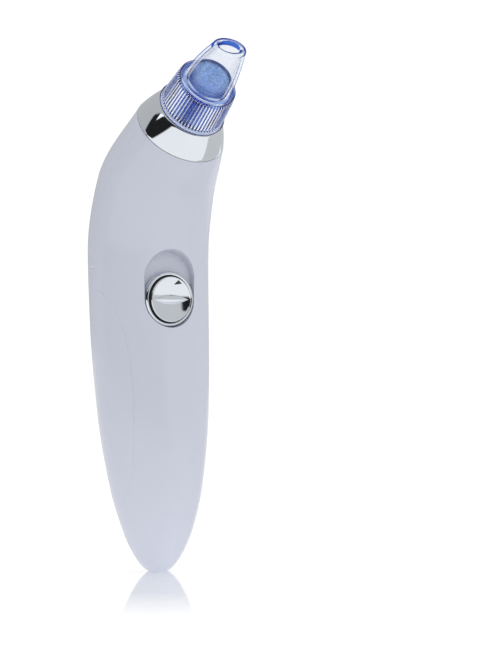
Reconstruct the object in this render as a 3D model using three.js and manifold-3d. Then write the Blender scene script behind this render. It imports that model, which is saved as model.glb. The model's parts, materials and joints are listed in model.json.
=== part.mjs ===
// Blackhead vacuum extractor: a curved hand-held body that stands on a small foot, a chrome collar and a clear
// suction tip on its leaning head, a slide knob on its front, and the cells, switch, motor and pump inside.
// Millimetres. +Z up, the front faces -Y, the body is symmetric about x = 0, the origin is the foot's centre.

import * as THREE from 'three';
import { mergeVertices } from 'three/addons/utils/BufferGeometryUtils.js';
import Module from 'manifold-3d';

const wasm = await Module();
wasm.setup();

// ---------------------------------------------------------------- driving dimensions

const GAP = 0.3;                 // between pieces that touch
const WALL = 2.0;                // casing wall

// Sections of the outer form from the foot to the top of the collar. centre is [y, z], half is the half width,
// front and rear are the section's depths before and behind its centre as shares of half, lean is its tilt.
const STATIONS = [
  { centre: [0, 0], half: 3.2, front: 0.8, rear: 0.9, lean: 0 },
  { centre: [0, 1], half: 4.6, front: 0.8, rear: 0.9, lean: 0 },
  { centre: [-0.1, 4], half: 7.2, front: 0.79, rear: 0.9, lean: 0 },
  { centre: [-0.1, 12], half: 11.3, front: 0.77, rear: 0.91, lean: 0 },
  { centre: [0.5, 28], half: 15.8, front: 0.71, rear: 0.93, lean: -2 },
  { centre: [2.1, 52], half: 19.0, front: 0.66, rear: 0.95, lean: -4 },
  { centre: [4.1, 80], half: 20.3, front: 0.64, rear: 0.97, lean: -4 },
  { centre: [5.1, 104], half: 20.5, front: 0.69, rear: 0.99, lean: 2.5 },
  { centre: [0.7, 124], half: 19.5, front: 0.8, rear: 1, lean: 23.5 },
  { centre: [-14.3, 141.8], half: 14.9, front: 1, rear: 1, lean: 49.5 },
  { centre: [-20.8, 147.2], half: 10.9, front: 1, rear: 1, lean: 54.4 },
];
const RIM_STATION = 9;           // casing below, collar above

const HEAD_POS = [0, -21.0, 147.4];   // underside of the tip's flange, on the nozzle's axis
const HEAD_LEAN = 54.4;               // degrees from vertical, towards the front
const TIP_FLANGE_R = 11.1;
const TIP_FLANGE_H = 0.95;
const TIP_RING_R = [10.05, 9.2];      // grip ring at its foot and at its lip
const TIP_RING_H = 12.4;
const TIP_BORE_R = 8.1;
const CUP_R = 7.9;
const CUP_H = 15.8;
const CUP_WALL = 0.95;
const MOUTH_OUT = [5.6, 3.55];        // half sizes of the oval mouth, outside
const MOUTH_IN = [3.75, 2.1];         // and inside

const NOZZLE_R = 7.5;
const NOZZLE_TOP_R = 6.1;
const NOZZLE_TOP = 16.4;
const NOZZLE_BORE_R = 4.4;
const NOZZLE_BARB = -9.0;
const FILTER_R = 5.2;

const SEAM_X = 13.0;                  // half width of the front tongue
const SEAM_STRAIGHT_TOP = 52;         // the tongue's edge is straight up to here
const SEAM_SWEEP = [74, [16.5, 86], [24, 97]];  // then sweeps out: control height, control point and end
const COVER_TOP = 98;                 // where the battery cover ends
const FOOT_SEAM_Y = 1.5;              // the cover's seam at the foot

const KNOB_Z = 88;
const KNOB_R = 8.85;
const KNOB_TRAVEL = 5.5;
const POCKET_FLOOR_Y = -4.9;
const POCKET_PLATE = 1.0;              // thickness of the pocket's floor
const POCKET_R = 9.2;
const POCKET_TOP_Z = 94.2;            // centre of the pocket's upper round end
const FIN_HALF = [6.6, 1.6];           // half length and half width of the knob's thumb fin
const STEM = [4.2, 4.6];              // width and height of the knob's stem

const CELL_R = 7.25;
const CELL_LENGTH = 49.5;
const CELL_PITCH = 15.2;
const CELL_POS = [0, 3.0, 37.5];
const CELL_LEAN = -7;

const PUMP_POS = [0, 12.7, 96.5];
const PUMP_LEAN = 20;
const MOTOR_R = 10;
const MOTOR_H = 18;
const PUMP_R = 10.4;
const PIN_TILT = 6;                   // degrees between the crank pin and the shaft
const PIN_PIVOT_H = 22.6;             // where the pin crosses the shaft's axis
const CHAMBERS = 3;
const CHAMBER_PITCH_R = 5.2;
const BARB_Y = -4;                    // the suction barb's place on the pump head

const SCREW_X = 13;                   // the two casing screws
const SCREW_Z = 94.8;
const POST_X = 7.6;                   // the two posts that carry the board
const POST_Z = 97;
const BOARD = { x: 9.5, y: [-0.1, 0.9], z: [82.6, 98.4] };
const RIB_HEIGHTS = [[9, 10.5], [23, 24.5]];    // the casing's two ribs, along the pump's axis

const FINISH = {
  whitePlastic: { color: 0xe4e6ee, roughness: 0.25, metalness: 0 },
  chrome: { color: 0xd8dade, roughness: 0.08, metalness: 1 },
  clearBlue: { color: 0x9fc0ee, roughness: 0.08, metalness: 0, transparent: true, opacity: 0.45 },
  blackPlastic: { color: 0x1d1e21, roughness: 0.55, metalness: 0 },
  greyPlastic: { color: 0x8a8d93, roughness: 0.5, metalness: 0 },
  rubber: { color: 0x2a2a2c, roughness: 0.8, metalness: 0 },
  silicone: { color: 0xd9dcd8, roughness: 0.6, metalness: 0 },
  foam: { color: 0xc9d3e6, roughness: 0.95, metalness: 0 },
  steel: { color: 0xa9abb0, roughness: 0.3, metalness: 1 },
  nickel: { color: 0xc2c0b8, roughness: 0.3, metalness: 1 },
  copper: { color: 0xb5703c, roughness: 0.4, metalness: 1 },
  board: { color: 0x1f6b3a, roughness: 0.5, metalness: 0 },
  cellSleeve: { color: 0x3a5f8f, roughness: 0.35, metalness: 0.1 },
  leadRed: { color: 0xb0201c, roughness: 0.5, metalness: 0 },
  leadBlack: { color: 0x161616, roughness: 0.5, metalness: 0 },
};

const FORM_SIDES = 28;                // flats round the casing and the collar
const FAR = 80;                       // past the object on every side, for cutting blocks

// ---------------------------------------------------------------- solids and placing

const rad = THREE.MathUtils.degToRad;

function toSolid(geometry) {
  const bare = geometry.clone();
  bare.deleteAttribute('normal');
  bare.deleteAttribute('uv');
  const merged = mergeVertices(bare, 1e-4);
  return new wasm.Manifold(new wasm.Mesh({
    numProp: 3,
    vertProperties: new Float32Array(merged.attributes.position.array),
    triVerts: new Uint32Array(merged.index.array),
  }));
}

function toGeometry(solid) {
  const { vertProperties, triVerts } = solid.getMesh();
  const geometry = new THREE.BufferGeometry();
  geometry.setAttribute('position', new THREE.BufferAttribute(new Float32Array(vertProperties), 3));
  geometry.setIndex(new THREE.BufferAttribute(new Uint32Array(triVerts), 1));
  geometry.computeVertexNormals();
  return geometry;
}

// The union of several geometries, less the union of others.
function carve(adds, cuts = []) {
  const whole = adds.map(toSolid).reduce((a, b) => a.add(b));
  return toGeometry(cuts.map(toSolid).reduce((a, b) => a.subtract(b), whole));
}

function frameAt(position, leanDegrees, parent) {
  const frame = new THREE.Group();
  frame.position.set(...position);
  frame.rotation.x = rad(leanDegrees);
  parent.add(frame);
  frame.updateWorldMatrix(true, false);
  return frame;
}

function addPiece(parent, name, geometry, finish) {
  const mesh = new THREE.Mesh(geometry, new THREE.MeshStandardMaterial(FINISH[finish]));
  mesh.name = name;
  parent.add(mesh);
  return mesh;
}

// Straight primitives, each already standing where it is wanted.
function boxAt(x0, x1, y0, y1, z0, z1) {
  return new THREE.BoxGeometry(x1 - x0, y1 - y0, z1 - z0)
    .translate((x0 + x1) / 2, (y0 + y1) / 2, (z0 + z1) / 2);
}

function rodZ(radius, z0, z1, x = 0, y = 0, sides = 20, topRadius = radius) {
  return new THREE.CylinderGeometry(topRadius, radius, z1 - z0, sides)
    .rotateX(Math.PI / 2).translate(x, y, (z0 + z1) / 2);
}

function rodY(radius, y0, y1, x, z, sides = 16) {
  return new THREE.CylinderGeometry(radius, radius, y1 - y0, sides).translate(x, (y0 + y1) / 2, z);
}

// A turned piece about Z from [radius, height] points.
function turned(points, sides = 32) {
  return new THREE.LatheGeometry(points.map(([r, h]) => new THREE.Vector2(r, h)), sides)
    .rotateX(Math.PI / 2);
}

// A closed solid through rings of equally many points, with flat ends.
function loft(rings) {
  const count = rings[0].length;
  const ends = [rings[0], rings[rings.length - 1]].map((ring) =>
    ring.reduce((sum, p) => sum.add(p), new THREE.Vector3()).divideScalar(count));
  const points = [...rings.flat(), ...ends];
  const index = [];
  const bottom = points.length - 2;
  for (let k = 0; k < count; k++) {
    const next = (k + 1) % count;
    for (let i = 0; i + 1 < rings.length; i++) {
      const a = i * count + k;
      const b = i * count + next;
      index.push(a, b, b + count, a, b + count, a + count);
    }
    const top = (rings.length - 1) * count;
    index.push(bottom, next, k, bottom + 1, top + k, top + next);
  }
  const geometry = new THREE.BufferGeometry().setFromPoints(points);
  geometry.setIndex(index);
  return geometry;
}

// A wire or spring: a round section of few sides swept along a curve.
function swept(curve, radius, steps, sides = 6, boreRadius = 0) {
  const circle = (r) => Array.from({ length: sides }, (_, k) => {
    const angle = (2 * Math.PI * k) / sides;
    return new THREE.Vector2(r * Math.cos(angle), r * Math.sin(angle));
  });
  const section = new THREE.Shape(circle(radius));
  if (boreRadius) section.holes.push(new THREE.Path(circle(boreRadius).reverse()));
  return new THREE.ExtrudeGeometry(section, { extrudePath: curve, steps, bevelEnabled: false });
}

// ---------------------------------------------------------------- the outer form

const DISTANCE = STATIONS.reduce((list, station, i) => {
  if (i === 0) return [0];
  const [y0, z0] = STATIONS[i - 1].centre;
  const [y1, z1] = station.centre;
  return [...list, list[i - 1] + Math.hypot(y1 - y0, z1 - z0)];
}, []);
const RIM = DISTANCE[RIM_STATION];
const COLLAR_TOP = DISTANCE[RIM_STATION + 1];

// Tangents that keep a curve through the stations free of overshoot.
function tangents(values) {
  const slope = values.slice(1, RIM_STATION + 1).map((v, i) => (v - values[i]) / (DISTANCE[i + 1] - DISTANCE[i]));
  return values.slice(0, RIM_STATION + 1).map((_, i) => {
    if (i === 0) return slope[0];
    if (i === RIM_STATION) return slope[i - 1];
    const product = slope[i - 1] * slope[i];
    return product <= 0 ? 0 : (2 * product) / (slope[i - 1] + slope[i]);
  });
}

const CHANNELS = Object.fromEntries(Object.entries({
  y: (s) => s.centre[0],
  z: (s) => s.centre[1],
  half: (s) => s.half,
  front: (s) => s.front,
  rear: (s) => s.rear,
  lean: (s) => s.lean,
}).map(([key, read]) => {
  const values = STATIONS.map(read);
  return [key, { values, slopes: tangents(values) }];
}));

// One channel of the form at distance s along its centreline: cubic on the casing, straight on the collar.
function channelAt(key, s) {
  const { values, slopes } = CHANNELS[key];
  let i = DISTANCE.findIndex((d) => d > s) - 1;
  if (i < 0) i = STATIONS.length - 2;
  const length = DISTANCE[i + 1] - DISTANCE[i];
  const t = (s - DISTANCE[i]) / length;
  if (i >= RIM_STATION) return values[i] + (values[i + 1] - values[i]) * t;
  const t2 = t * t;
  const t3 = t2 * t;
  return (2 * t3 - 3 * t2 + 1) * values[i] + (t3 - 2 * t2 + t) * length * slopes[i]
    + (3 * t2 - 2 * t3) * values[i + 1] + (t3 - t2) * length * slopes[i + 1];
}

function formRing(s, inset, sides) {
  const half = channelAt('half', s);
  const lean = rad(channelAt('lean', s));
  const y = channelAt('y', s);
  const z = channelAt('z', s);
  return Array.from({ length: sides }, (_, k) => {
    const angle = (2 * Math.PI * k) / sides;
    const share = Math.cos(angle) > 0 ? channelAt('front', s) : channelAt('rear', s);
    const depth = (half * share - inset) * Math.cos(angle);
    return new THREE.Vector3(
      (half - inset) * Math.sin(angle),
      y - depth * Math.cos(lean),
      z - depth * Math.sin(lean),
    );
  });
}

// A solid of the form between two distances, set in from its surface. step is the rings' spacing.
function form(s0, s1, inset, sides, step) {
  const stops = [s0, ...DISTANCE.filter((d) => d > s0 + 0.5 && d < s1 - 0.5), s1];
  const rings = [formRing(s0, inset, sides)];
  for (let i = 0; i + 1 < stops.length; i++) {
    const count = Math.max(1, Math.round((stops[i + 1] - stops[i]) / step));
    for (let j = 1; j <= count; j++) {
      rings.push(formRing(stops[i] + ((stops[i + 1] - stops[i]) * j) / count, inset, sides));
    }
  }
  return loft(rings);
}

// The distance along the centreline at height z, on the upright part of the body.
function distanceAtHeight(z) {
  let low = 0;
  let high = RIM;
  for (let i = 0; i < 40; i++) {
    const middle = (low + high) / 2;
    if (channelAt('z', middle) < z) low = middle;
    else high = middle;
  }
  return low;
}

// ---------------------------------------------------------------- the frames that pieces stand in

const extractor = new THREE.Group();
const body = frameAt([0, 0, 0], 0, extractor);
const head = frameAt(HEAD_POS, HEAD_LEAN, extractor);
const cells = frameAt(CELL_POS, CELL_LEAN, extractor);
const pump = frameAt(PUMP_POS, PUMP_LEAN, extractor);
const inBody = (geometry, frame) => geometry.clone().applyMatrix4(frame.matrixWorld);

// ---------------------------------------------------------------- casing

// The block in front of the widest line (side = -1) or behind it (side = 1), in from it by half a gap.
function halfBlock(side, gap) {
  const STEPS = 24;
  const line = [];
  for (let i = 0; i <= STEPS; i++) {
    const s = (RIM * 1.06 * i) / STEPS;
    const y = Math.max(channelAt('y', s), channelAt('z', s) < COVER_TOP ? FOOT_SEAM_Y : -FAR);
    line.push([y, channelAt('z', s)]);
  }
  const shape = new THREE.Shape();
  shape.moveTo(side * FAR, -5);
  shape.lineTo(line[0][0] + side * gap, -5);
  line.forEach(([y, z]) => shape.lineTo(y + side * gap, z));
  shape.lineTo(line[STEPS][0] + side * gap, 2 * FAR + 20);
  shape.lineTo(side * FAR, 2 * FAR + 20);
  shape.closePath();
  // Shape x is Y and shape y is Z here: stand it up across X.
  return new THREE.ExtrudeGeometry(shape, { depth: 2 * FAR, bevelEnabled: false })
    .applyMatrix4(new THREE.Matrix4().makeBasis(
      new THREE.Vector3(0, 1, 0), new THREE.Vector3(0, 0, 1), new THREE.Vector3(1, 0, 0)))
    .translate(-FAR, 0, 0);
}

// The front tongue's outline seen from the front, grown sideways and up by a gap.
function tongueBlock(grow) {
  const shape = new THREE.Shape();
  const x = SEAM_X + grow;
  const [straightZ, [sweepX, sweepZ], [wide, endZ]] = SEAM_SWEEP;
  const top = endZ + grow;
  shape.moveTo(-x, -5);
  shape.lineTo(x, -5);
  shape.lineTo(x, SEAM_STRAIGHT_TOP);
  shape.bezierCurveTo(x, straightZ, sweepX + grow, sweepZ, wide, top);
  shape.lineTo(60, top);
  shape.lineTo(60, 200);
  shape.lineTo(-60, 200);
  shape.lineTo(-60, top);
  shape.lineTo(-wide, top);
  shape.bezierCurveTo(-sweepX - grow, sweepZ, -x, straightZ, -x, SEAM_STRAIGHT_TOP);
  shape.closePath();
  return new THREE.ExtrudeGeometry(shape, { depth: 120, bevelEnabled: false, curveSegments: 8 })
    .rotateX(Math.PI / 2).translate(0, 60, 0);
}

function stadiumY(radius, y0, y1, z0, z1, sides = 28) {
  const shape = new THREE.Shape();
  shape.absarc(0, z1, radius, 0, Math.PI);
  shape.absarc(0, z0, radius, Math.PI, 2 * Math.PI);
  shape.closePath();
  return new THREE.ExtrudeGeometry(shape, { depth: y1 - y0, bevelEnabled: false, curveSegments: sides / 2 })
    .rotateX(Math.PI / 2).translate(0, y1, 0);
}

// The scooped pocket round the knob: straight walls at its floor that flare towards the surface.
function knobPocket() {
  const FLARE = 0.9;
  const rings = [[POCKET_FLOOR_Y, 0], [POCKET_FLOOR_Y - 1, 0.1], [POCKET_FLOOR_Y - 4, FLARE]];
  const sides = 32;
  return loft(rings.map(([y, flare]) => Array.from({ length: sides }, (_, k) => {
    const angle = (2 * Math.PI * k) / sides;
    const reach = POCKET_R + flare * Math.max(0.15, Math.sin(angle));
    const z = Math.sin(angle) > 0 ? POCKET_TOP_Z : KNOB_Z;
    return new THREE.Vector3(reach * Math.cos(angle), y, z + reach * Math.sin(angle));
  })));
}

function casing() {
  const outer = toSolid(form(0, RIM, 0, FORM_SIDES, 8));
  const cavity = toSolid(form(distanceAtHeight(2.4), RIM + 0.6, WALL, FORM_SIDES, 12));
  const pumpRoom = toSolid(inBody(rodZ(PUMP_R + GAP, -3, 37.5, 0, 0, 20), pump));

  // Two ribs square to the pump's axis carry the motor and the pump housing.
  const ribs = RIB_HEIGHTS.map(([h0, h1]) =>
    toSolid(inBody(boxAt(-30, 30, -30, 30, h0, h1), pump)).intersect(outer).subtract(pumpRoom));
  const shell = ribs.reduce((a, b) => a.add(b), outer.subtract(cavity));

  const screwSides = [-1, 1];
  const frontBlock = toSolid(halfBlock(-1, GAP / 2));
  const rearBlock = toSolid(halfBlock(1, GAP / 2));
  const above = toSolid(boxAt(-FAR, FAR, -FAR, FAR, COVER_TOP + GAP / 2, 3 * FAR));
  const below = toSolid(boxAt(-FAR, FAR, -FAR, FAR, -FAR, COVER_TOP - GAP / 2));
  const tongue = toSolid(tongueBlock(0));

  // Front: the pocket's wall, the casing bosses and the board's posts, then the pocket, slot and screw holes.
  const pocketWall = toSolid(stadiumY(POCKET_R + 1.6, -20, POCKET_FLOOR_Y + POCKET_PLATE, KNOB_Z, POCKET_TOP_Z));
  const bosses = screwSides.map((side) => toSolid(rodY(2.6, -12, 10, side * SCREW_X, SCREW_Z)));
  const posts = screwSides.map((side) => toSolid(rodY(1.9, -12, BOARD.y[0] - GAP, side * POST_X, POST_Z, 12)));
  const solidFront = [pocketWall, ...bosses, ...posts]
    .reduce((whole, extra) => whole.add(extra.intersect(outer)), shell.intersect(frontBlock));
  const slot = boxAt(-STEM[0] / 2 - GAP, STEM[0] / 2 + GAP, -12, -3,
    KNOB_Z - STEM[1] / 2 - GAP, KNOB_Z + STEM[1] / 2 + KNOB_TRAVEL + GAP);
  const frontCuts = [
    knobPocket(),
    slot,
    ...screwSides.map((side) => rodY(1.45, 1.5, 12, side * SCREW_X, SCREW_Z)),
    ...screwSides.map((side) => rodY(1.2, -4, 2, side * POST_X, POST_Z, 12)),
  ];
  const front = frontCuts.map(toSolid).reduce((a, b) => a.subtract(b), solidFront.intersect(tongue));

  // Rear: an inner land that the cover laps, with two lugs for the casing screws.
  const landOuter = toSolid(form(distanceAtHeight(86), distanceAtHeight(106), WALL + GAP, FORM_SIDES, 10));
  const landInner = toSolid(form(distanceAtHeight(85), distanceAtHeight(107), WALL + GAP + 1.6, FORM_SIDES, 10));
  const landBand = toSolid(boxAt(-FAR, FAR, 7, FAR, 90.6, 101));
  const land = landOuter.subtract(landInner).intersect(landBand);
  const landRoot = toSolid(form(distanceAtHeight(90), distanceAtHeight(112), WALL - 0.3, FORM_SIDES, 10))
    .subtract(landInner).intersect(toSolid(boxAt(-FAR, FAR, 7, FAR, COVER_TOP + GAP, 101)));
  const lugs = screwSides.map((side) =>
    toSolid(rodY(3.1, 10.3, 30, side * SCREW_X, SCREW_Z)).intersect(landOuter));
  const rearCuts = screwSides.flatMap((side) => [
    rodY(2.35, 12, 40, side * SCREW_X, SCREW_Z),
    rodY(1.45, 5, 40, side * SCREW_X, SCREW_Z),
  ]);
  const rearWhole = [land, landRoot, ...lugs]
    .reduce((a, b) => a.add(b), shell.intersect(rearBlock).intersect(above));
  const rear = rearCuts.map(toSolid).reduce((a, b) => a.subtract(b), rearWhole.subtract(pumpRoom));

  const keepOut = toSolid(halfBlock(-1, -GAP / 2)).intersect(toSolid(tongueBlock(GAP)));
  const cover = shell.intersect(below).subtract(keepOut);
  return { front, rear, cover };
}

const { front, rear, cover } = casing();
addPiece(body, 'front_shell', toGeometry(front), 'whitePlastic');
addPiece(body, 'rear_shell', toGeometry(rear), 'whitePlastic');
addPiece(body, 'battery_cover', toGeometry(cover), 'whitePlastic');

for (const [side, label] of [[-1, 'left'], [1, 'right']]) {
  const x = side * SCREW_X;
  const screw = carve([rodY(1.15, 2.2, 12.6, x, SCREW_Z, 12), rodY(2.0, 12.3, 13.8, x, SCREW_Z)],
    [boxAt(x - 1.3, x + 1.3, 13.2, 15, SCREW_Z - 0.3, SCREW_Z + 0.3)]);
  addPiece(body, `casing_screw_${label}`, screw, 'steel');
}

// ---------------------------------------------------------------- collar, nozzle and tip

function collar() {
  const SLEEVE_INSET = WALL + GAP + 0.15;
  const outer = toSolid(form(RIM + GAP, COLLAR_TOP, 0, FORM_SIDES, 9));
  const sleeve = toSolid(form(RIM - 4, RIM + 2, SLEEVE_INSET, FORM_SIDES, 6));
  const hollow = toSolid(form(RIM - 6, COLLAR_TOP - 1.4, SLEEVE_INSET + 1.2, FORM_SIDES, 8));
  const bore = toSolid(inBody(rodZ(NOZZLE_R + GAP, -6, 6, 0, 0, 28), head));
  return toGeometry(outer.add(sleeve).subtract(hollow).subtract(bore));
}

addPiece(body, 'chrome_collar', collar(), 'chrome');

function nozzle() {
  const groove = 6.0;
  const flangeTop = -2.0;
  return turned([
    [1.3, NOZZLE_BARB], [2.1, NOZZLE_BARB], [2.4, NOZZLE_BARB + 1.2], [2.0, NOZZLE_BARB + 1.6],
    [2.0, -4.4], [7.0, -3.2], [7.0, flangeTop], [NOZZLE_R, flangeTop + 0.4], [NOZZLE_R, 6.2],
    [groove, 6.2], [groove, 8.6], [NOZZLE_R, 8.6], [NOZZLE_R, 10.2], [NOZZLE_TOP_R, 11.1],
    [NOZZLE_TOP_R, NOZZLE_TOP - 0.4], [NOZZLE_TOP_R - 0.4, NOZZLE_TOP], [FILTER_R + GAP, NOZZLE_TOP],
    [FILTER_R + GAP, NOZZLE_TOP - 2.4], [NOZZLE_BORE_R, NOZZLE_TOP - 2.4], [NOZZLE_BORE_R, 0], [1.3, -2.6],
    [1.3, NOZZLE_BARB],
  ], 20);
}

addPiece(head, 'nozzle', nozzle(), 'clearBlue');
addPiece(head, 'nozzle_o_ring', new THREE.TorusGeometry(7.05, 0.8, 6, 20).translate(0, 0, 7.4), 'rubber');
addPiece(head, 'nozzle_filter', turned([
  [0, NOZZLE_TOP - 2.1], [FILTER_R, NOZZLE_TOP - 2.1], [FILTER_R, NOZZLE_TOP - 0.5], [3, NOZZLE_TOP - 0.1],
  [0, NOZZLE_TOP],
], 20), 'foam');

function ovalRing(h, rx, ry, sides) {
  return Array.from({ length: sides }, (_, k) => {
    const angle = (2 * Math.PI * k) / sides;
    return new THREE.Vector3(rx * Math.cos(angle), ry * Math.sin(angle), h);
  });
}

// Half sizes of the clear cup at share t of its height, outside less an inset.
function cupSize(t, inset) {
  const fall = Math.max(t, 0) ** 1.5;
  return MOUTH_OUT.map((mouth) => CUP_R - (CUP_R - mouth) * fall - inset);
}

function suctionTip() {
  const SIDES = 28;
  const grip = rodZ(TIP_RING_R[0], TIP_FLANGE_H - 0.2, TIP_RING_H - 0.7, 0, 0, SIDES, TIP_RING_R[1]);
  const flange = rodZ(TIP_FLANGE_R, 0, TIP_FLANGE_H, 0, 0, SIDES);
  const lip = rodZ(TIP_RING_R[1] + 0.15, TIP_RING_H - 0.9, TIP_RING_H, 0, 0, SIDES);
  const cup = loft([-0.06, 0.2, 0.4, 0.6, 0.8, 0.93].map((t) =>
    ovalRing(TIP_RING_H + CUP_H * t, ...cupSize(t, 0), SIDES))
    .concat([ovalRing(TIP_RING_H + CUP_H, ...cupSize(1, 0.7), SIDES)]));
  const bore = rodZ(TIP_BORE_R, -1, TIP_RING_H - 1.2, 0, 0, SIDES);
  const throat = rodZ(CUP_R - CUP_WALL, TIP_RING_H - 2, TIP_RING_H + 0.1, 0, 0, SIDES);
  const hollow = loft([0, 0.25, 0.5, 0.72, 0.88].map((t) =>
    ovalRing(TIP_RING_H + CUP_H * t, ...cupSize(t, CUP_WALL), SIDES)).concat([
    ovalRing(TIP_RING_H + CUP_H * 0.96, ...MOUTH_IN, SIDES),
    ovalRing(TIP_RING_H + CUP_H * 1.05, ...MOUTH_IN, SIDES),
  ]));
  return carve([grip, flange, lip, cup], [bore, throat, hollow]);
}

addPiece(head, 'suction_tip', suctionTip(), 'clearBlue');

// ---------------------------------------------------------------- knob, switch and board

const CARRIER_Y = POCKET_FLOOR_Y + POCKET_PLATE + GAP;      // front face of the carrier plate
const CARRIER_T = 0.8;

function slideKnob() {
  const back = POCKET_FLOOR_Y - GAP;
  const cap = turned([
    [0, 0], [KNOB_R - 0.3, 0], [KNOB_R, 0.4], [KNOB_R, 1.4], [KNOB_R - 0.35, 2.05], [KNOB_R - 0.95, 2.4],
    [KNOB_R - 1.5, 2.35], [KNOB_R - 2.1, 2.0], [KNOB_R - 4, 1.65], [0, 1.5],
  ], 32).rotateX(Math.PI / 2).translate(0, back, KNOB_Z);
  const leaf = new THREE.Shape();
  leaf.moveTo(-FIN_HALF[0], 0);
  leaf.quadraticCurveTo(0, 2 * FIN_HALF[1], FIN_HALF[0], 0);
  leaf.quadraticCurveTo(0, -2 * FIN_HALF[1], -FIN_HALF[0], 0);
  const fin = new THREE.ExtrudeGeometry(leaf, { depth: 2, bevelEnabled: false, curveSegments: 6 })
    .rotateX(Math.PI / 2).translate(0, back - 0.9, KNOB_Z);
  const stem = boxAt(-STEM[0] / 2, STEM[0] / 2, back - 1, CARRIER_Y + 0.6,
    KNOB_Z - STEM[1] / 2, KNOB_Z + STEM[1] / 2);
  return carve([cap, fin, stem]);
}

addPiece(body, 'slide_knob', slideKnob(), 'chrome');

const SWITCH_Y = [-2.6, -0.4];
const SWITCH_Z = KNOB_Z + KNOB_TRAVEL / 2;

addPiece(body, 'knob_carrier', carve(
  [boxAt(-4.6, 4.6, CARRIER_Y, CARRIER_Y + CARRIER_T, KNOB_Z - 5, KNOB_Z + 5)],
  [
    boxAt(-STEM[0] / 2 - GAP, STEM[0] / 2 + GAP, CARRIER_Y - 1, CARRIER_Y + CARRIER_T + 1,
      KNOB_Z - STEM[1] / 2 - GAP, KNOB_Z + STEM[1] / 2 + GAP),
  ],
), 'blackPlastic');
addPiece(body, 'switch_lever', carve([
  boxAt(-1, 1, CARRIER_Y + CARRIER_T + 0.1, SWITCH_Y[0] + 0.9, KNOB_Z - 1.2, KNOB_Z + 1.2),
]), 'blackPlastic');
addPiece(body, 'switch_body', carve(
  [boxAt(-3, 3, SWITCH_Y[0], SWITCH_Y[1], SWITCH_Z - 6, SWITCH_Z + 6)],
  [boxAt(-1.4, 1.4, SWITCH_Y[0] - 1, SWITCH_Y[0] + 1.4, KNOB_Z - 1.6, KNOB_Z + KNOB_TRAVEL + 1.6)],
), 'nickel');
addPiece(body, 'circuit_board', carve(
  [boxAt(-BOARD.x, BOARD.x, ...BOARD.y, ...BOARD.z)],
  [-1, 1].map((side) => rodY(1.4, -2, 2, side * POST_X, POST_Z, 12)),
), 'board');
for (const [side, label] of [[-1, 'left'], [1, 'right']]) {
  const x = side * POST_X;
  addPiece(body, `board_screw_${label}`,
    carve([rodY(0.9, -3.4, 1.4, x, POST_Z, 10), rodY(1.8, 1.2, 2.3, x, POST_Z, 12)]), 'steel');
}

// ---------------------------------------------------------------- cells and their contacts

// The left cell stands on its negative end and the right cell on its positive end.
function cell(positiveUp) {
  const profile = [
    [0, 0], [CELL_R - 0.5, 0], [CELL_R, 0.5], [CELL_R, CELL_LENGTH - 0.5], [CELL_R - 0.5, CELL_LENGTH],
    [2.7, CELL_LENGTH], [2.7, CELL_LENGTH + 1], [0, CELL_LENGTH + 1],
  ];
  const geometry = turned(profile, 22);
  return positiveUp ? geometry : geometry.rotateX(Math.PI).translate(0, 0, CELL_LENGTH + 1);
}

const SPRING_TURNS = 1.5;
const SPRING_H = 1.0;

function coilSpring(radius, height, turns) {
  const path = new THREE.CatmullRomCurve3(Array.from({ length: turns * 8 + 1 }, (_, k) => {
    const angle = (2 * Math.PI * k) / 8;
    return new THREE.Vector3(radius * Math.cos(angle), radius * Math.sin(angle), (height * k) / (turns * 8));
  }));
  return swept(path, 0.3, turns * 8, 5);
}

const CELL_X = CELL_PITCH / 2;
addPiece(cells, 'battery_left', cell(true).translate(-CELL_X, 0, 0), 'cellSleeve');
addPiece(cells, 'battery_right', cell(false).translate(CELL_X, 0, 0), 'cellSleeve');

const CELL_TOP = CELL_LENGTH + 1;          // over the positive nub
const LOW_WALL = -2.6;                     // upper face of the frame's lower wall
const HIGH_WALL = CELL_TOP + 2.6;          // lower face of its upper wall
const PLATE = 0.4;                         // contact sheet
addPiece(cells, 'bridge_spring',
  coilSpring(3, SPRING_H, SPRING_TURNS).translate(-CELL_X, 0, -SPRING_H - 0.4), 'nickel');
addPiece(cells, 'minus_spring',
  coilSpring(3, SPRING_H, SPRING_TURNS).translate(CELL_X, 0, CELL_TOP + 0.4), 'nickel');
addPiece(cells, 'bridge_contact', carve([
  boxAt(-11, 11, -3.6, 3.6, LOW_WALL + 0.1, LOW_WALL + 0.1 + PLATE),
  rodZ(2.6, LOW_WALL + 0.2, -0.2, CELL_X, 0, 16, 2.0),
]), 'nickel');
addPiece(cells, 'plus_terminal', carve([
  boxAt(-CELL_X - 3, -CELL_X + 3, -3, 3, HIGH_WALL - 0.1 - PLATE, HIGH_WALL - 0.1),
  rodZ(2.0, CELL_TOP + 0.2, HIGH_WALL - 0.2, -CELL_X, 0, 16, 2.6),
]), 'nickel');
addPiece(cells, 'minus_terminal',
  boxAt(CELL_X - 3, CELL_X + 3, -3, 3, HIGH_WALL - 0.1 - PLATE, HIGH_WALL - 0.1), 'nickel');

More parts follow.
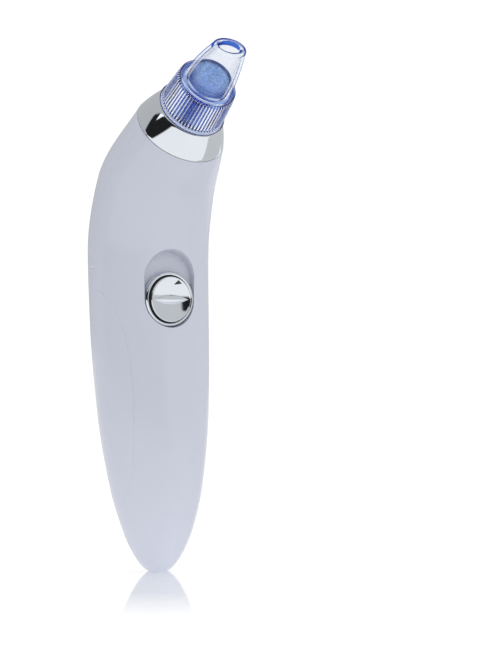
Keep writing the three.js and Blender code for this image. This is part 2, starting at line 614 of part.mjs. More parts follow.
function batteryFrame() {
  const webBack = -CELL_R - GAP;
  const lowWall = rodZ(1, LOW_WALL - 1.2, LOW_WALL, 0, 0, 32).scale(12.4, 8.4, 1);
  const highWall = boxAt(-11.3, 11.3, -0.8, 5.5, HIGH_WALL, HIGH_WALL + 1);
  const web = boxAt(-9.6, 9.6, webBack - 1, webBack, LOW_WALL - 1.2, 42);
  const rib = boxAt(-0.8, 0.8, webBack - 0.2, -4.3, LOW_WALL - 0.2, 42);
  const rails = [-1, 1].map((side) =>
    boxAt(Math.min(side * 9.8, side * 11.3), Math.max(side * 9.8, side * 11.3), webBack - 1, webBack,
      38, HIGH_WALL + 1));
  const links = [-1, 1].map((side) =>
    boxAt(Math.min(side * 8, side * 11.3), Math.max(side * 8, side * 11.3), webBack - 1, webBack, 37, 42));
  const shoulders = [-1, 1].map((side) =>
    boxAt(Math.min(side * 9.8, side * 11.3), Math.max(side * 9.8, side * 11.3), webBack - 1, 0,
      HIGH_WALL, HIGH_WALL + 1));
  return carve([lowWall, highWall, web, rib, ...rails, ...links, ...shoulders]);
}

addPiece(cells, 'battery_frame', batteryFrame(), 'blackPlastic');

// ---------------------------------------------------------------- motor and pump

addPiece(pump, 'motor_can', turned([
  [MOTOR_R - 0.8, 0], [MOTOR_R, 0], [MOTOR_R, MOTOR_H - 0.6], [MOTOR_R - 0.6, MOTOR_H], [3.2, MOTOR_H],
  [3.2, MOTOR_H + 1], [1.3, MOTOR_H + 1], [1.3, MOTOR_H - 0.8], [MOTOR_R - 0.8, MOTOR_H - 0.8],
  [MOTOR_R - 0.8, 0],
], 22), 'steel');
addPiece(pump, 'motor_end_cap', carve(
  [rodZ(MOTOR_R - 1.1, 0.2, 2, 0, 0, 22), ...[-4, 4].map((x) => boxAt(x - 0.9, x + 0.9, -6.3, -5.8, -2.0, 1))],
  [rodZ(1.3, -1, 3, 0, 0, 16)],
), 'blackPlastic');
addPiece(pump, 'motor_magnet', turned([
  [7.6, 2.6], [MOTOR_R - 1.1, 2.6], [MOTOR_R - 1.1, 15.6], [7.6, 15.6], [7.6, 2.6],
], 20), 'rubber');
addPiece(pump, 'motor_rotor', turned([
  [0, -0.6], [1, -0.6], [1, 3], [2.4, 3], [2.4, 6], [7.1, 6], [7.1, 14.6], [1, 14.6], [1, 22], [0, 22],
], 18), 'copper');

// The crank is a hub on the shaft with a pin that leans across the shaft's line.
const PIN_R = 0.75;
function crank() {
  const hubR = 3.4;
  const hub = turned([[1.15, 19.3], [hubR, 19.3], [hubR, 21], [1.15, 21], [1.15, 19.3]], 20);
  const lid = rodZ(hubR, 22.3, 23.2, 0, 0, 20);
  const wall = turned([[2.4, 20.4], [hubR, 20.4], [hubR, 22.8], [2.4, 22.8], [2.4, 20.4]], 20);
  const pin = rodZ(PIN_R, 0, 5, 0, 0, 12).rotateX(rad(PIN_TILT)).translate(0, 0, PIN_PIVOT_H);
  return carve([hub, lid, wall, pin]);
}
addPiece(pump, 'pump_crank', crank(), 'nickel');

function wobblePlate() {
  const arms = Array.from({ length: CHAMBERS }, (_, k) =>
    boxAt(0, CHAMBER_PITCH_R + 1, -1.1, 1.1, 3.4, 4.4).rotateZ((2 * Math.PI * k) / CHAMBERS));
  return carve([rodZ(2.2, 1.2, 4.6, 0, 0, 20), ...arms], [rodZ(PIN_R + 0.15, -1, 6, 0, 0, 16)])
    .rotateX(rad(PIN_TILT)).translate(0, 0, PIN_PIVOT_H);
}
addPiece(pump, 'wobble_plate', wobblePlate(), 'greyPlastic');

const HOUSING = [MOTOR_H + 1 + GAP, 31.6];
const DIAPHRAGM_Z = HOUSING[1] + GAP;
const VALVE_Z = DIAPHRAGM_Z + 0.8 + GAP;
const LID_Z = VALVE_Z + 1.5 + GAP;
const LID_TOP = LID_Z + 3.2;
const PUMP_SCREW_R = 8.7;
const screwAngles = [90, 210, 330].map((degrees) => rad(degrees));
const around = (r, angle) => [r * Math.cos(angle), r * Math.sin(angle)];
const pumpScrewHoles = (radius, z0, z1) =>
  screwAngles.map((angle) => rodZ(radius, z0, z1, ...around(PUMP_SCREW_R, angle), 10));

function pumpHousing() {
  const shell = turned([
    [4.4, HOUSING[0]], [PUMP_R, HOUSING[0]], [PUMP_R, HOUSING[1]], [PUMP_R - 1.1, HOUSING[1]],
    [PUMP_R - 1.1, HOUSING[0] + 1.2], [4.4, HOUSING[0] + 1.2], [4.4, HOUSING[0]],
  ], 22);
  const columns = screwAngles.map((angle) =>
    rodZ(1.5, HOUSING[0] + 0.5, HOUSING[1], ...around(PUMP_SCREW_R, angle), 12));
  return carve([shell, ...columns], pumpScrewHoles(0.9, HOUSING[1] - 5, HOUSING[1] + 1));
}
addPiece(pump, 'pump_housing', pumpHousing(), 'greyPlastic');

function diaphragm() {
  const chamberAngles = Array.from({ length: CHAMBERS }, (_, k) => (2 * Math.PI * k) / CHAMBERS);
  const cups = chamberAngles.map((angle) =>
    rodZ(1.7, DIAPHRAGM_Z - 2.6, DIAPHRAGM_Z + 0.4, ...around(CHAMBER_PITCH_R, angle), 10, 2.6));
  const stems = chamberAngles.map((angle) =>
    rodZ(0.7, DIAPHRAGM_Z - 3.6, DIAPHRAGM_Z - 2.4, ...around(CHAMBER_PITCH_R, angle), 8));
  const hollows = chamberAngles.map((angle) =>
    rodZ(1.0, DIAPHRAGM_Z - 1.9, DIAPHRAGM_Z + 2, ...around(CHAMBER_PITCH_R, angle), 10, 2.2));
  return carve([rodZ(PUMP_R - 0.2, DIAPHRAGM_Z, DIAPHRAGM_Z + 0.8, 0, 0, 22), ...cups, ...stems],
    [...hollows, ...pumpScrewHoles(1.1, DIAPHRAGM_Z - 1, DIAPHRAGM_Z + 2)]);
}
addPiece(pump, 'diaphragm', diaphragm(), 'rubber');

addPiece(pump, 'valve_plate', carve([rodZ(PUMP_R - 0.2, VALVE_Z, VALVE_Z + 1.5, 0, 0, 22)], [
  ...Array.from({ length: CHAMBERS }, (_, k) =>
    rodZ(0.8, VALVE_Z - 1, VALVE_Z + 3, ...around(CHAMBER_PITCH_R, (2 * Math.PI * k) / CHAMBERS), 10)),
  ...pumpScrewHoles(1.1, VALVE_Z - 1, VALVE_Z + 3),
]), 'greyPlastic');

addPiece(pump, 'pump_lid', carve([
  rodZ(PUMP_R - 0.2, LID_Z, LID_TOP, 0, 0, 22),
  rodZ(2.0, LID_TOP - 0.5, LID_TOP + 4.2, 0, BARB_Y, 12),
  rodZ(2.4, LID_TOP + 3.0, LID_TOP + 4.4, 0, BARB_Y, 12, 2.0),
], [
  rodZ(1.2, LID_Z - 1, LID_TOP + 8, 0, BARB_Y, 12),
  rodZ(6.9, LID_Z - 1, LID_Z + 1.4, 0, 0, 24),
  rodZ(0.9, LID_Z - 1, LID_TOP + 1, 3, 4, 10),
  ...pumpScrewHoles(1.1, LID_Z - 1, LID_TOP + 1),
]), 'blackPlastic');

screwAngles.forEach((angle, k) => {
  const [x, y] = around(PUMP_SCREW_R, angle);
  addPiece(pump, `pump_screw_${k + 1}`, carve([
    rodZ(0.6, HOUSING[1] - 4.5, LID_TOP + 0.5, x, y, 10), rodZ(1.4, LID_TOP + 0.3, LID_TOP + 1.3, x, y, 12),
  ]), 'steel');
});

// Insulated leads, from the contacts and the motor's tabs to the back of the board.
const LEAD_END_Y = BOARD.y[1] + GAP;
function lead(points) {
  return swept(new THREE.CatmullRomCurve3(points), 0.45, 8, 6);
}
for (const [side, label, finish] of [[-1, 'plus_lead', 'leadRed'], [1, 'minus_lead', 'leadBlack']]) {
  const start = new THREE.Vector3(side * CELL_X, -3.4, HIGH_WALL - 0.9).applyMatrix4(cells.matrixWorld);
  const end = new THREE.Vector3(side * 7.2, LEAD_END_Y, start.z + 0.2);
  const sag = start.clone().lerp(end, 0.5).add(new THREE.Vector3(0, 0, -0.7));
  addPiece(body, label, lead([start, sag, end]), finish);
}
for (const [side, label, finish] of [[-1, 'motor_lead_red', 'leadRed'], [1, 'motor_lead_black', 'leadBlack']]) {
  const start = new THREE.Vector3(side * 4, -6.05, -2.6).applyMatrix4(pump.matrixWorld);
  const end = new THREE.Vector3(side * 3.6, LEAD_END_Y, start.z - 0.3);
  const sag = start.clone().lerp(end, 0.5).add(new THREE.Vector3(0, 0, -0.6));
  addPiece(body, label, lead([start, sag, end]), finish);
}

function suctionHose() {
  const start = new THREE.Vector3(0, BARB_Y, LID_TOP + GAP).applyMatrix4(pump.matrixWorld);
  const startTurn = new THREE.Vector3(0, BARB_Y, LID_TOP + 8).applyMatrix4(pump.matrixWorld);
  const end = new THREE.Vector3(0, 0, -4.9).applyMatrix4(head.matrixWorld);
  const endTurn = new THREE.Vector3(0, 0, -11).applyMatrix4(head.matrixWorld);
  return swept(new THREE.CubicBezierCurve3(start, startTurn, endTurn, end), 3.5, 10, 10, 2.75);
}
addPiece(body, 'suction_hose', suctionHose(), 'silicone');

export default extractor;
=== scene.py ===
"""Looks for the blackhead vacuum extractor: fine casing skins, chrome, a clear suction tip, a white studio.

Shapes are worked out in millimetres in the frame of the CAD part, and become metres in build().
"""

import json
import math

import bmesh
import bpy
import numpy as np
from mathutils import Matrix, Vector


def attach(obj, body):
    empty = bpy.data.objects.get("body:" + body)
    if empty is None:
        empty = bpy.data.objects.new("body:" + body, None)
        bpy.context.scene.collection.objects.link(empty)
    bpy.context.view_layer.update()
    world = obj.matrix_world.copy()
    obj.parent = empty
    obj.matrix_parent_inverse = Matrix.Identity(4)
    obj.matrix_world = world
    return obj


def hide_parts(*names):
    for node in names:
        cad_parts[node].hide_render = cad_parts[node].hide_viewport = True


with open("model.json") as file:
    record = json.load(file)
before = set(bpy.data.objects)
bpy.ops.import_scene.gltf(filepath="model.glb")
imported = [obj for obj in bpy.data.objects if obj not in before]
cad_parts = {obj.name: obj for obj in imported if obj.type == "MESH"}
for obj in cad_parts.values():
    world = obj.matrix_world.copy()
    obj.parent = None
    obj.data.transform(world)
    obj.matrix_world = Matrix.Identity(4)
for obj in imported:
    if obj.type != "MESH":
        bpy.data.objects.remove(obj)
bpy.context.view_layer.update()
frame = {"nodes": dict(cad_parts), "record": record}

MM = 0.001
SQUARE = ((-1, -1), (1, -1), (1, 1), (-1, 1))

# ---------------------------------------------------------------- dimensions shared with the CAD part, in mm

# Centre y, centre z, half width, front and rear depth as shares of it, lean in degrees; foot to collar top.
STATIONS = np.array([
    (0.0, 0.0, 3.2, 0.80, 0.90, 0.0),
    (0.0, 1.0, 4.6, 0.80, 0.90, 0.0),
    (-0.1, 4.0, 7.2, 0.79, 0.90, 0.0),
    (-0.1, 12.0, 11.3, 0.77, 0.91, 0.0),
    (0.5, 28.0, 15.8, 0.71, 0.93, -2.0),
    (2.1, 52.0, 19.0, 0.66, 0.95, -4.0),
    (4.1, 80.0, 20.3, 0.64, 0.97, -4.0),
    (5.1, 104.0, 20.5, 0.69, 0.99, 2.5),
    (0.7, 124.0, 19.5, 0.80, 1.00, 23.5),
    (-14.3, 141.8, 14.9, 1.00, 1.00, 49.5),
    (-20.8, 147.2, 10.9, 1.00, 1.00, 54.4),
])
RIM_STATION = 9
HEAD_POS = Vector((0.0, -21.0, 147.4))
HEAD_LEAN = math.radians(54.4)
CELL_POS = Vector((0.0, 3.0, 37.5))
CELL_LEAN = math.radians(-7.0)

SHELL_THICKNESS = 1.6
COVER_TOP = 98.0
SEAM_CURVE = [(13.0, 52.0), (13.0, 74.0), (16.5, 86.0), (24.0, 97.0)]    # x and z where the seam sweeps out
FOOT_SEAM_Y = 1.5
FOOT_SEAM_Z = (12.0, 34.0)           # between these heights the seam sweeps to just behind the widest line
FOOT_REACH = 0.92                    # the share of the half width that it follows as a straight line
SCREW_X = 13.0
SCREW_Z = 94.8
KNOB_Z = 88.0
KNOB_R = 8.85
KNOB_BACK_Y = -5.2
POCKET_R = 9.05
POCKET_TOP_Z = 94.2
POCKET_FLOOR_Y = -4.9
NOZZLE_LENGTH = 16.4
TIP_LIP = 12.4                       # where the cup stands on the grip ring, and its height above that
CUP_HEIGHT = 15.8
MOUTH = (3.75, 2.1)
CELL_X = 7.6
CELL_LENGTH = 50.5

# ---------------------------------------------------------------- the outer form

STEPS = np.hypot(np.diff(STATIONS[:, 0]), np.diff(STATIONS[:, 1]))
DISTANCE = np.concatenate([[0.0], np.cumsum(STEPS)])
RIM = DISTANCE[RIM_STATION]
COLLAR_TOP = DISTANCE[RIM_STATION + 1]


def station_slopes():
    """Tangents that keep the curves through the casing's stations free of overshoot."""
    rise = np.diff(STATIONS[: RIM_STATION + 1], axis=0) / STEPS[:RIM_STATION, None]
    slopes = np.zeros((RIM_STATION + 1, STATIONS.shape[1]))
    slopes[0] = rise[0]
    slopes[-1] = rise[-1]
    product = rise[:-1] * rise[1:]
    total = rise[:-1] + rise[1:]
    safe = np.where(product > 0, total, 1.0)
    slopes[1:-1] = np.where(product > 0, 2 * product / safe, 0.0)
    return slopes


SLOPES = station_slopes()


def sections(s):
    """Columns y, z, half, front, rear, lean (radians) at distances s.

    They are cubic on the casing and straight on the collar.
    """
    s = np.atleast_1d(np.asarray(s, float))
    i = np.clip(np.searchsorted(DISTANCE, s, side="right") - 1, 0, len(STEPS) - 1)
    t = ((s - DISTANCE[i]) / STEPS[i])[..., None]
    a, b = STATIONS[i], STATIONS[i + 1]
    j = np.minimum(i, RIM_STATION - 1)
    length = STEPS[i][..., None]
    curve = (
        (2 * t**3 - 3 * t**2 + 1) * a
        + (t**3 - 2 * t**2 + t) * length * SLOPES[j]
        + (3 * t**2 - 2 * t**3) * b
        + (t**3 - t**2) * length * SLOPES[j + 1]
    )
    straight = a + (b - a) * t
    out = np.where((i < RIM_STATION)[..., None], curve, straight)
    y, z, half, front, rear, lean = np.moveaxis(out, -1, 0)
    return y, z, half, front, rear, np.radians(lean)


def on_form(s, angle, inset=0.0):
    """Points of the form: angle 0 is the front, a quarter turn is +X. s and angle broadcast together."""
    s, angle = np.broadcast_arrays(np.asarray(s, float), np.asarray(angle, float))
    y, z, half, front, rear, lean = sections(s.ravel())
    turn = angle.ravel()
    share = np.where(np.cos(turn) > 0, front, rear)
    depth = (half * share - inset) * np.cos(turn)
    points = np.stack([
        (half - inset) * np.sin(turn),
        y - depth * np.cos(lean),
        z - depth * np.sin(lean),
    ], -1)
    return points.reshape(s.shape + (3,))


def distance_at_height(height):
    s = np.linspace(0, RIM, 4000)
    return float(np.interp(height, sections(s)[1], s))


S_COVER_TOP = distance_at_height(COVER_TOP)


def seam_half_width(z):
    """Half width of the front tongue at height z: straight, then swept out to the sides of the body."""
    t = np.linspace(0, 1, 60)
    weights = ((1 - t) ** 3, 3 * t * (1 - t) ** 2, 3 * t**2 * (1 - t), t**3)
    across, up = (sum(w * point[k] for w, point in zip(weights, SEAM_CURVE)) for k in (0, 1))
    return np.interp(z, up, across, left=SEAM_CURVE[0][0], right=np.inf)


def seam_angle(s):
    """Angle of the front shell's edge at distance s; a quarter turn or a little more at the foot."""
    y, z, half, _, rear, _ = sections(s)
    reach = np.clip(seam_half_width(z) / half, 0, np.where(z < FOOT_SEAM_Z[1], FOOT_REACH, 1.0))
    behind = np.pi / 2 + np.arcsin(np.clip((FOOT_SEAM_Y - y) / (half * rear), 0, 1))
    low = np.clip((FOOT_SEAM_Z[1] - z) / (FOOT_SEAM_Z[1] - FOOT_SEAM_Z[0]), 0, 1)
    return np.arcsin(reach) + (behind - np.arcsin(reach)) * low * low * (3 - 2 * low)


# ---------------------------------------------------------------- mesh helpers

def mesh_of(name, points, faces):
    """A mesh from points in mm and faces, with doubled points joined and the faces turned outwards."""
    mesh = bpy.data.meshes.new(name)
    corners = (np.asarray(points, float) * MM).tolist()
    mesh.from_pydata(corners, [], [tuple(map(int, face)) for face in faces])
    mesh.validate()
    shape = bmesh.new()
    shape.from_mesh(mesh)
    bmesh.ops.remove_doubles(shape, verts=shape.verts, dist=1e-7)
    bmesh.ops.recalc_face_normals(shape, faces=shape.faces)
    shape.to_mesh(mesh)
    shape.free()
    return mesh


def build(name, points, faces, body, materials, replaces=()):
    """A smooth piece riding on a CAD body."""
    mesh = mesh_of(name, points, faces)
    mesh.shade_smooth()
    for material in materials:
        mesh.materials.append(material)
    obj = bpy.data.objects.new(name, mesh)
    bpy.context.scene.collection.objects.link(obj)
    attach(obj, body)
    if replaces:
        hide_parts(*replaces)
    return obj


def crease(obj, degrees=32):
    obj.data.set_sharp_from_angle(angle=math.radians(degrees))


def apply_modifiers(obj):
    """Bakes the object's modifiers into its mesh."""
    graph = bpy.context.evaluated_depsgraph_get()
    baked = bpy.data.meshes.new_from_object(obj.evaluated_get(graph), depsgraph=graph)
    obj.modifiers.clear()
    obj.data = baked


def grid_faces(rows, columns, wrap=False):
    """Quads of a rows by columns grid of points; wrap joins the last column to the first."""
    span = columns if wrap else columns - 1
    i, k = np.meshgrid(np.arange(rows - 1), np.arange(span), indexing="ij")
    after = (k + 1) % columns
    return np.stack([
        i * columns + k, i * columns + after, (i + 1) * columns + after, (i + 1) * columns + k,
    ], -1).reshape(-1, 4)


def ring_stack(rings, closed=False):
    """Points and faces of rings joined in turn.

    closed joins the last ring to the first; otherwise each end gets a fan.
    """
    rings = np.asarray(rings, float)
    rows, columns = rings.shape[:2]
    points = rings.reshape(-1, 3)
    if closed:
        return points, (grid_faces(rows + 1, columns, wrap=True) % len(points)).tolist()
    faces = grid_faces(rows, columns, wrap=True).tolist()
    centres = np.array([rings[0].mean(0), rings[-1].mean(0)])
    low, high = len(points), len(points) + 1
    last = (rows - 1) * columns
    for k in range(columns):
        after = (k + 1) % columns
        faces.append((low, after, k))
        faces.append((high, last + k, last + after))
    return np.concatenate([points, centres]), faces


def join(parts):
    """One point and face list from several."""
    points, faces, base = [], [], 0
    for some_points, some_faces in parts:
        points.append(np.asarray(some_points, float))
        faces += [tuple(base + int(v) for v in face) for face in some_faces]
        base += len(some_points)
    return np.concatenate(points), faces


def placed(points, position, lean):
    """Local points, with z along a leaning axis, in the part's frame."""
    points = np.asarray(points, float)
    c, s = math.cos(lean), math.sin(lean)
    x, y, z = np.moveaxis(points, -1, 0)
    return np.stack([x + position[0], position[1] + y * c - z * s, position[2] + y * s + z * c], -1)


def circle(radius, height, count, radius_y=None):
    turn = np.linspace(0, 2 * np.pi, count, endpoint=False)
    across = radius if radius_y is None else radius_y
    return np.stack([radius * np.sin(turn), -across * np.cos(turn), np.full(count, height)], -1)


def turned(profile, count, closed=False):
    """A piece turned about z from (radius, height) points; closed when its last point meets its first."""
    return ring_stack([circle(r, h, count) for r, h in profile], closed)


def rounded(profile, radius=0.3, steps=4):
    """The profile with each inner corner cut by a small arc."""
    points = [np.array(p, float) for p in profile]
    out = [points[0]]
    for before, here, after in zip(points, points[1:], points[2:]):
        a, b = before - here, after - here
        cut = min(radius, 0.45 * np.linalg.norm(a), 0.45 * np.linalg.norm(b))
        start = here + a / np.linalg.norm(a) * cut
        end = here + b / np.linalg.norm(b) * cut
        for t in np.linspace(0, 1, steps):
            out.append((1 - t) ** 2 * start + 2 * t * (1 - t) * here + t**2 * end)
    out.append(points[-1])
    return [tuple(p) for p in out]


def tube(path, radius, count=14):
    """A round tube along a smooth list of points."""
    path = np.asarray(path, float)
    forward = np.gradient(path, axis=0)
    forward /= np.linalg.norm(forward, axis=1)[:, None]
    side = np.cross(forward[0], (0.3, 0.2, 0.93))
    rings = []
    turn = np.linspace(0, 2 * np.pi, count, endpoint=False)[:, None]
    for point, ahead in zip(path, forward):
        side = side - ahead * (side @ ahead)
        side /= np.linalg.norm(side)
        other = np.cross(ahead, side)
        rings.append(point + radius * (np.cos(turn) * side + np.sin(turn) * other))
    return ring_stack(rings)


# ---------------------------------------------------------------- materials

def join_up(tree, node, inputs):
    """Gives each of a node's inputs its value, or joins it to the output given for it."""
    for key, value in inputs.items():
        if isinstance(value, bpy.types.NodeSocket):
            tree.links.new(value, node.inputs[key])
        else:
            node.inputs[key].default_value = value


def add(tree, kind, inputs, **settings):
    node = tree.nodes.new("ShaderNode" + kind)
    for key, value in settings.items():
        setattr(node, key, value)
    join_up(tree, node, inputs)
    return node


def noise(tree, scale, detail=3.0):
    """Object-space noise whose scale is in features per metre."""
    where = add(tree, "TexCoord", {}).outputs["Object"]
    inputs = {"Vector": where, "Scale": scale, "Detail": detail, "Roughness": 0.55}
    return add(tree, "TexNoise", inputs).outputs["Fac"]


def map_range(tree, value, low, high, to_low, to_high, **settings):
    inputs = {"Value": value, "From Min": low, "From Max": high, "To Min": to_low, "To Max": to_high}
    return add(tree, "MapRange", inputs, **settings).outputs["Result"]


def colour_ramp(tree, factor, stops):
    """The colour at factor on a ramp through stops of position and colour."""
    ramp = add(tree, "ValToRGB", {"Fac": factor})
    elements = ramp.color_ramp.elements
    while len(elements) < len(stops):
        elements.new(0.5)
    for element, (position, colour) in zip(elements, stops):
        element.position = position
        element.color = (*colour, 1)
    return ramp.outputs["Color"]


def mix_shader(tree, factor, first, second):
    return add(tree, "MixShader", {"Fac": factor, 1: first, 2: second}).outputs["Shader"]


def new_material(name):
    material = bpy.data.materials.new(name)
    material.use_nodes = True
    tree = material.node_tree
    return material, tree, tree.nodes["Principled BSDF"]


def show(tree, shader):
    """Puts a shader in the place of a new material's own."""
    tree.nodes.remove(tree.nodes["Principled BSDF"])
    tree.links.new(shader, tree.nodes["Material Output"].inputs["Surface"])


def finish_material(name, colour, rough, metallic=0.0, spread=0.06, colour_scale=90.0, rough_spread=0.05,
                    rough_scale=400.0, bump=0.02, bump_scale=2500.0, coat=0.0, ior=1.5, edge=None):
    """A procedural finish: colour and roughness drift with noise, and a fine bump gives it its grain.

    edge is the colour it deepens to where it is seen edge on.
    """
    material, tree, surface = new_material(name)
    low, high = ([min(1.0, c * (1 + change)) for c in colour] for change in (-spread, spread))
    tone = colour_ramp(tree, noise(tree, colour_scale), [(0.3, low), (0.7, high)])
    if edge:
        facing = add(tree, "LayerWeight", {"Blend": 0.35}).outputs["Facing"]
        tone = add(tree, "Mix", {0: facing, 6: tone, 7: (*edge, 1)}, data_type="RGBA").outputs[2]
    smooth = max(0.0, rough - rough_spread)
    worn = map_range(tree, noise(tree, rough_scale), 0, 1, smooth, rough + rough_spread)
    grain = add(tree, "Bump", {"Strength": bump, "Distance": 0.0001, "Height": noise(tree, bump_scale, 2.0)})
    join_up(tree, surface, {
        "Base Color": tone, "Roughness": worn, "Normal": grain.outputs["Normal"], "Metallic": metallic,
        "IOR": ior, "Coat Weight": coat, "Coat Roughness": 0.04,
    })
    return material


def clear_material(name, pale, deep, turn, haze_and_highlight, gloss=0.10):
    """Clear moulded plastic under a hard gloss, pale where it is seen square on and deep where it turns away.

    turn holds where the pale colour ends and the deep one begins, and haze_and_highlight how much lit matt
    white is mixed in at
    each amount of turning away: partly milky plastic, partly a painted highlight, as in the white stripes on
    the grip's ribs.
    """
    material, tree, _ = new_material(name)
    facing = add(tree, "LayerWeight", {"Blend": 0.5}).outputs["Facing"]
    tint = colour_ramp(tree, facing, list(zip(turn, (pale, deep))))
    through = add(tree, "BsdfTransparent", {"Color": tint})
    # Matt white: partly milky plastic, partly a painted highlight.
    milk_and_highlight = add(tree, "BsdfDiffuse", {"Color": (0.93, 0.96, 0.99, 1)})
    milk_and_highlight_share = colour_ramp(tree, facing, [(position, (level,) * 3) for position, level in haze_and_highlight])
    body = mix_shader(tree, milk_and_highlight_share, through.outputs["BSDF"], milk_and_highlight.outputs["BSDF"])
    shine = add(tree, "BsdfGlossy", {"Roughness": map_range(tree, noise(tree, 260.0), 0, 1, 0.01, 0.05)})
    fresnel = add(tree, "Fresnel", {"IOR": 1.49}).outputs["Fac"]
    most = add(tree, "Math", {0: fresnel, 1: gloss}, operation="MINIMUM").outputs["Value"]
    show(tree, mix_shader(tree, most, body, shine.outputs["BSDF"]))
    return material


CASING = finish_material("casing_gloss", (0.482, 0.505, 0.585), 0.17, spread=0.012, colour_scale=25.0,
                         rough_spread=0.03, bump=0.012, bump_scale=900.0, ior=1.46)
CHROME = finish_material("mirror_chrome", (0.82, 0.865, 0.92), 0.035, 1.0, spread=0.02, rough_spread=0.02,
                         bump=0.006, bump_scale=700.0)
CLEAR = clear_material("clear_blue_cup", (0.975, 0.985, 1.0), (0.10, 0.24, 0.70), (0.74, 0.90),
                       [(0.0, 0.0), (0.52, 0.0), (0.63, 0.60), (0.76, 0.0)])
# The grip's white band at middling facing paints the highlight stripes on its ribs.
GRIP = clear_material("clear_blue_grip", (0.62, 0.77, 1.0), (0.05, 0.16, 0.60), (0.08, 0.60),
                      [(0.0, 0.0), (0.16, 0.0), (0.28, 0.95), (0.50, 0.95), (0.62, 0.0)])
GROOVE = clear_material("clear_blue_groove", (0.50, 0.66, 1.0), (0.03, 0.10, 0.46), (0.05, 0.45),
                        [(0.0, 0.0), (1.0, 0.1)])
SHOULDER = clear_material("clear_blue_shoulder", (0.66, 0.79, 1.0), (0.14, 0.28, 0.70), (0.2, 0.9),
                          [(0.0, 0.0), (1.0, 0.1)])
BEAD = clear_material("clear_blue_bead", (0.93, 0.965, 1.0), (0.02, 0.08, 0.36), (0.34, 0.50),
                      [(0.0, 0.25), (0.33, 0.25), (0.4, 0.0)])
THICK = clear_material("clear_blue_thick", (0.035, 0.14, 0.60), (0.01, 0.06, 0.38), (0.2, 0.8),
                       [(0.0, 0.02), (1.0, 0.0)], gloss=0.02)
NOZZLE = finish_material("nozzle_blue", (0.18, 0.33, 0.72), 0.22, spread=0.05, bump=0.03, coat=0.4,
                         edge=(0.02, 0.05, 0.22))
# A deep blue that paints the shade on the wall of the nozzle's filter recess.
NOZZLE_RECESS_SHADE = finish_material("nozzle_recess_painted_shade", (0.03, 0.06, 0.24), 0.3, spread=0.05, bump=0.03)
FOAM = finish_material("filter_foam", (0.18, 0.34, 0.68), 0.35, spread=0.35, colour_scale=1100.0, bump=1.0,
                       bump_scale=900.0)
RUBBER = finish_material("black_rubber", (0.02, 0.02, 0.022), 0.7, spread=0.2, bump=0.25, bump_scale=3000.0)
BLACK = finish_material("black_moulding", (0.022, 0.023, 0.025), 0.5, spread=0.2, bump=0.3, bump_scale=4000.0)
GREY = finish_material("grey_moulding", (0.30, 0.31, 0.33), 0.5, spread=0.08, bump=0.3, bump_scale=4000.0)
NICKEL = finish_material("nickel_plate", (0.66, 0.64, 0.59), 0.25, 1.0, spread=0.08, bump=0.05)
ZINC = finish_material("bright_zinc", (0.52, 0.54, 0.58), 0.3, 1.0, spread=0.12, bump=0.08)
BOARD = finish_material("solder_mask", (0.02, 0.16, 0.05), 0.35, spread=0.25, colour_scale=900.0, bump=0.1)
FERRITE = finish_material("ferrite", (0.05, 0.05, 0.055), 0.6, 0.3, spread=0.2, bump=0.4)
COPPER = finish_material("enamelled_copper", (0.60, 0.25, 0.12), 0.3, 0.9, spread=0.2, bump=0.2)
SILICONE = finish_material("silicone_tube", (0.70, 0.72, 0.70), 0.4, spread=0.05, bump=0.05)
SEAL = finish_material("seal_silicone", (0.30, 0.42, 0.78), 0.35, spread=0.05, bump=0.05)
RED_VINYL = finish_material("red_vinyl", (0.45, 0.02, 0.015), 0.4, spread=0.1)
BLACK_VINYL = finish_material("black_vinyl", (0.015, 0.015, 0.015), 0.4, spread=0.1)
SLEEVE = finish_material("cell_sleeve", (0.05, 0.10, 0.20), 0.28, 0.25, spread=0.1, colour_scale=40.0,
                         coat=0.5)
BAND = finish_material("cell_band", (0.62, 0.40, 0.16), 0.3, 0.6, spread=0.08, coat=0.5)
# Black paint for the knob's pointer, also used as painted shade in the gap round the knob's disc.
MARK_AND_GAP_SHADE = finish_material("mark_paint_and_gap_shade", (0.03, 0.03, 0.035), 0.5, spread=0.1)

# ---------------------------------------------------------------- casing skins

# The block of the front skin that holds the knob's pocket: half its angle, its cells each way, its heights.
BLOCK_ANGLE = math.radians(36.5)
BLOCK_CELLS = 96
BLOCK_HEIGHTS = (75.0, 112.0)
BESIDE_BLOCK = 26                    # columns of the skin on each side of the block
THIN_SHARE = 0.3                     # how thin the wall gets round the pocket


def row_distances(start, end, step, fine_until=26.0, fine_step=0.5):
    """Row spacing along the form: fine near the foot, even elsewhere."""
    fine = np.arange(start, min(end, fine_until), fine_step)
    begin = max(start, fine_until)
    rest = np.linspace(begin, end, max(2, int(round((end - begin) / step)) + 1))
    return np.concatenate([fine, rest])


def front_surface_y(x, z):
    """Depth of the front surface at points x, z, by stepping along the centreline."""
    along = np.linspace(0, RIM, 600)
    s = np.interp(z, sections(along)[1], along)
    for _ in range(13):
        y, centre, half, front, _, lean = sections(s)
        depth = half * front * np.cos(np.arcsin(np.clip(x / half, -1, 1)))
        s = s + (z - (centre - depth * np.sin(lean)))
    return y - depth * np.cos(lean)


def stadium_reach(direction, radius):
    """Distance from the pocket's centre to its outline along unit directions (x, z)."""
    half_run = (POCKET_TOP_Z - KNOB_Z) / 2
    x, z = np.abs(direction[..., 0]), np.abs(direction[..., 1])
    flat = radius / np.maximum(x, 1e-9)
    on_flat = flat * z <= half_run
    along = z * half_run
    arc = along + np.sqrt(np.maximum(along**2 - half_run**2 + radius**2, 0))
    return np.where(on_flat, flat, arc)


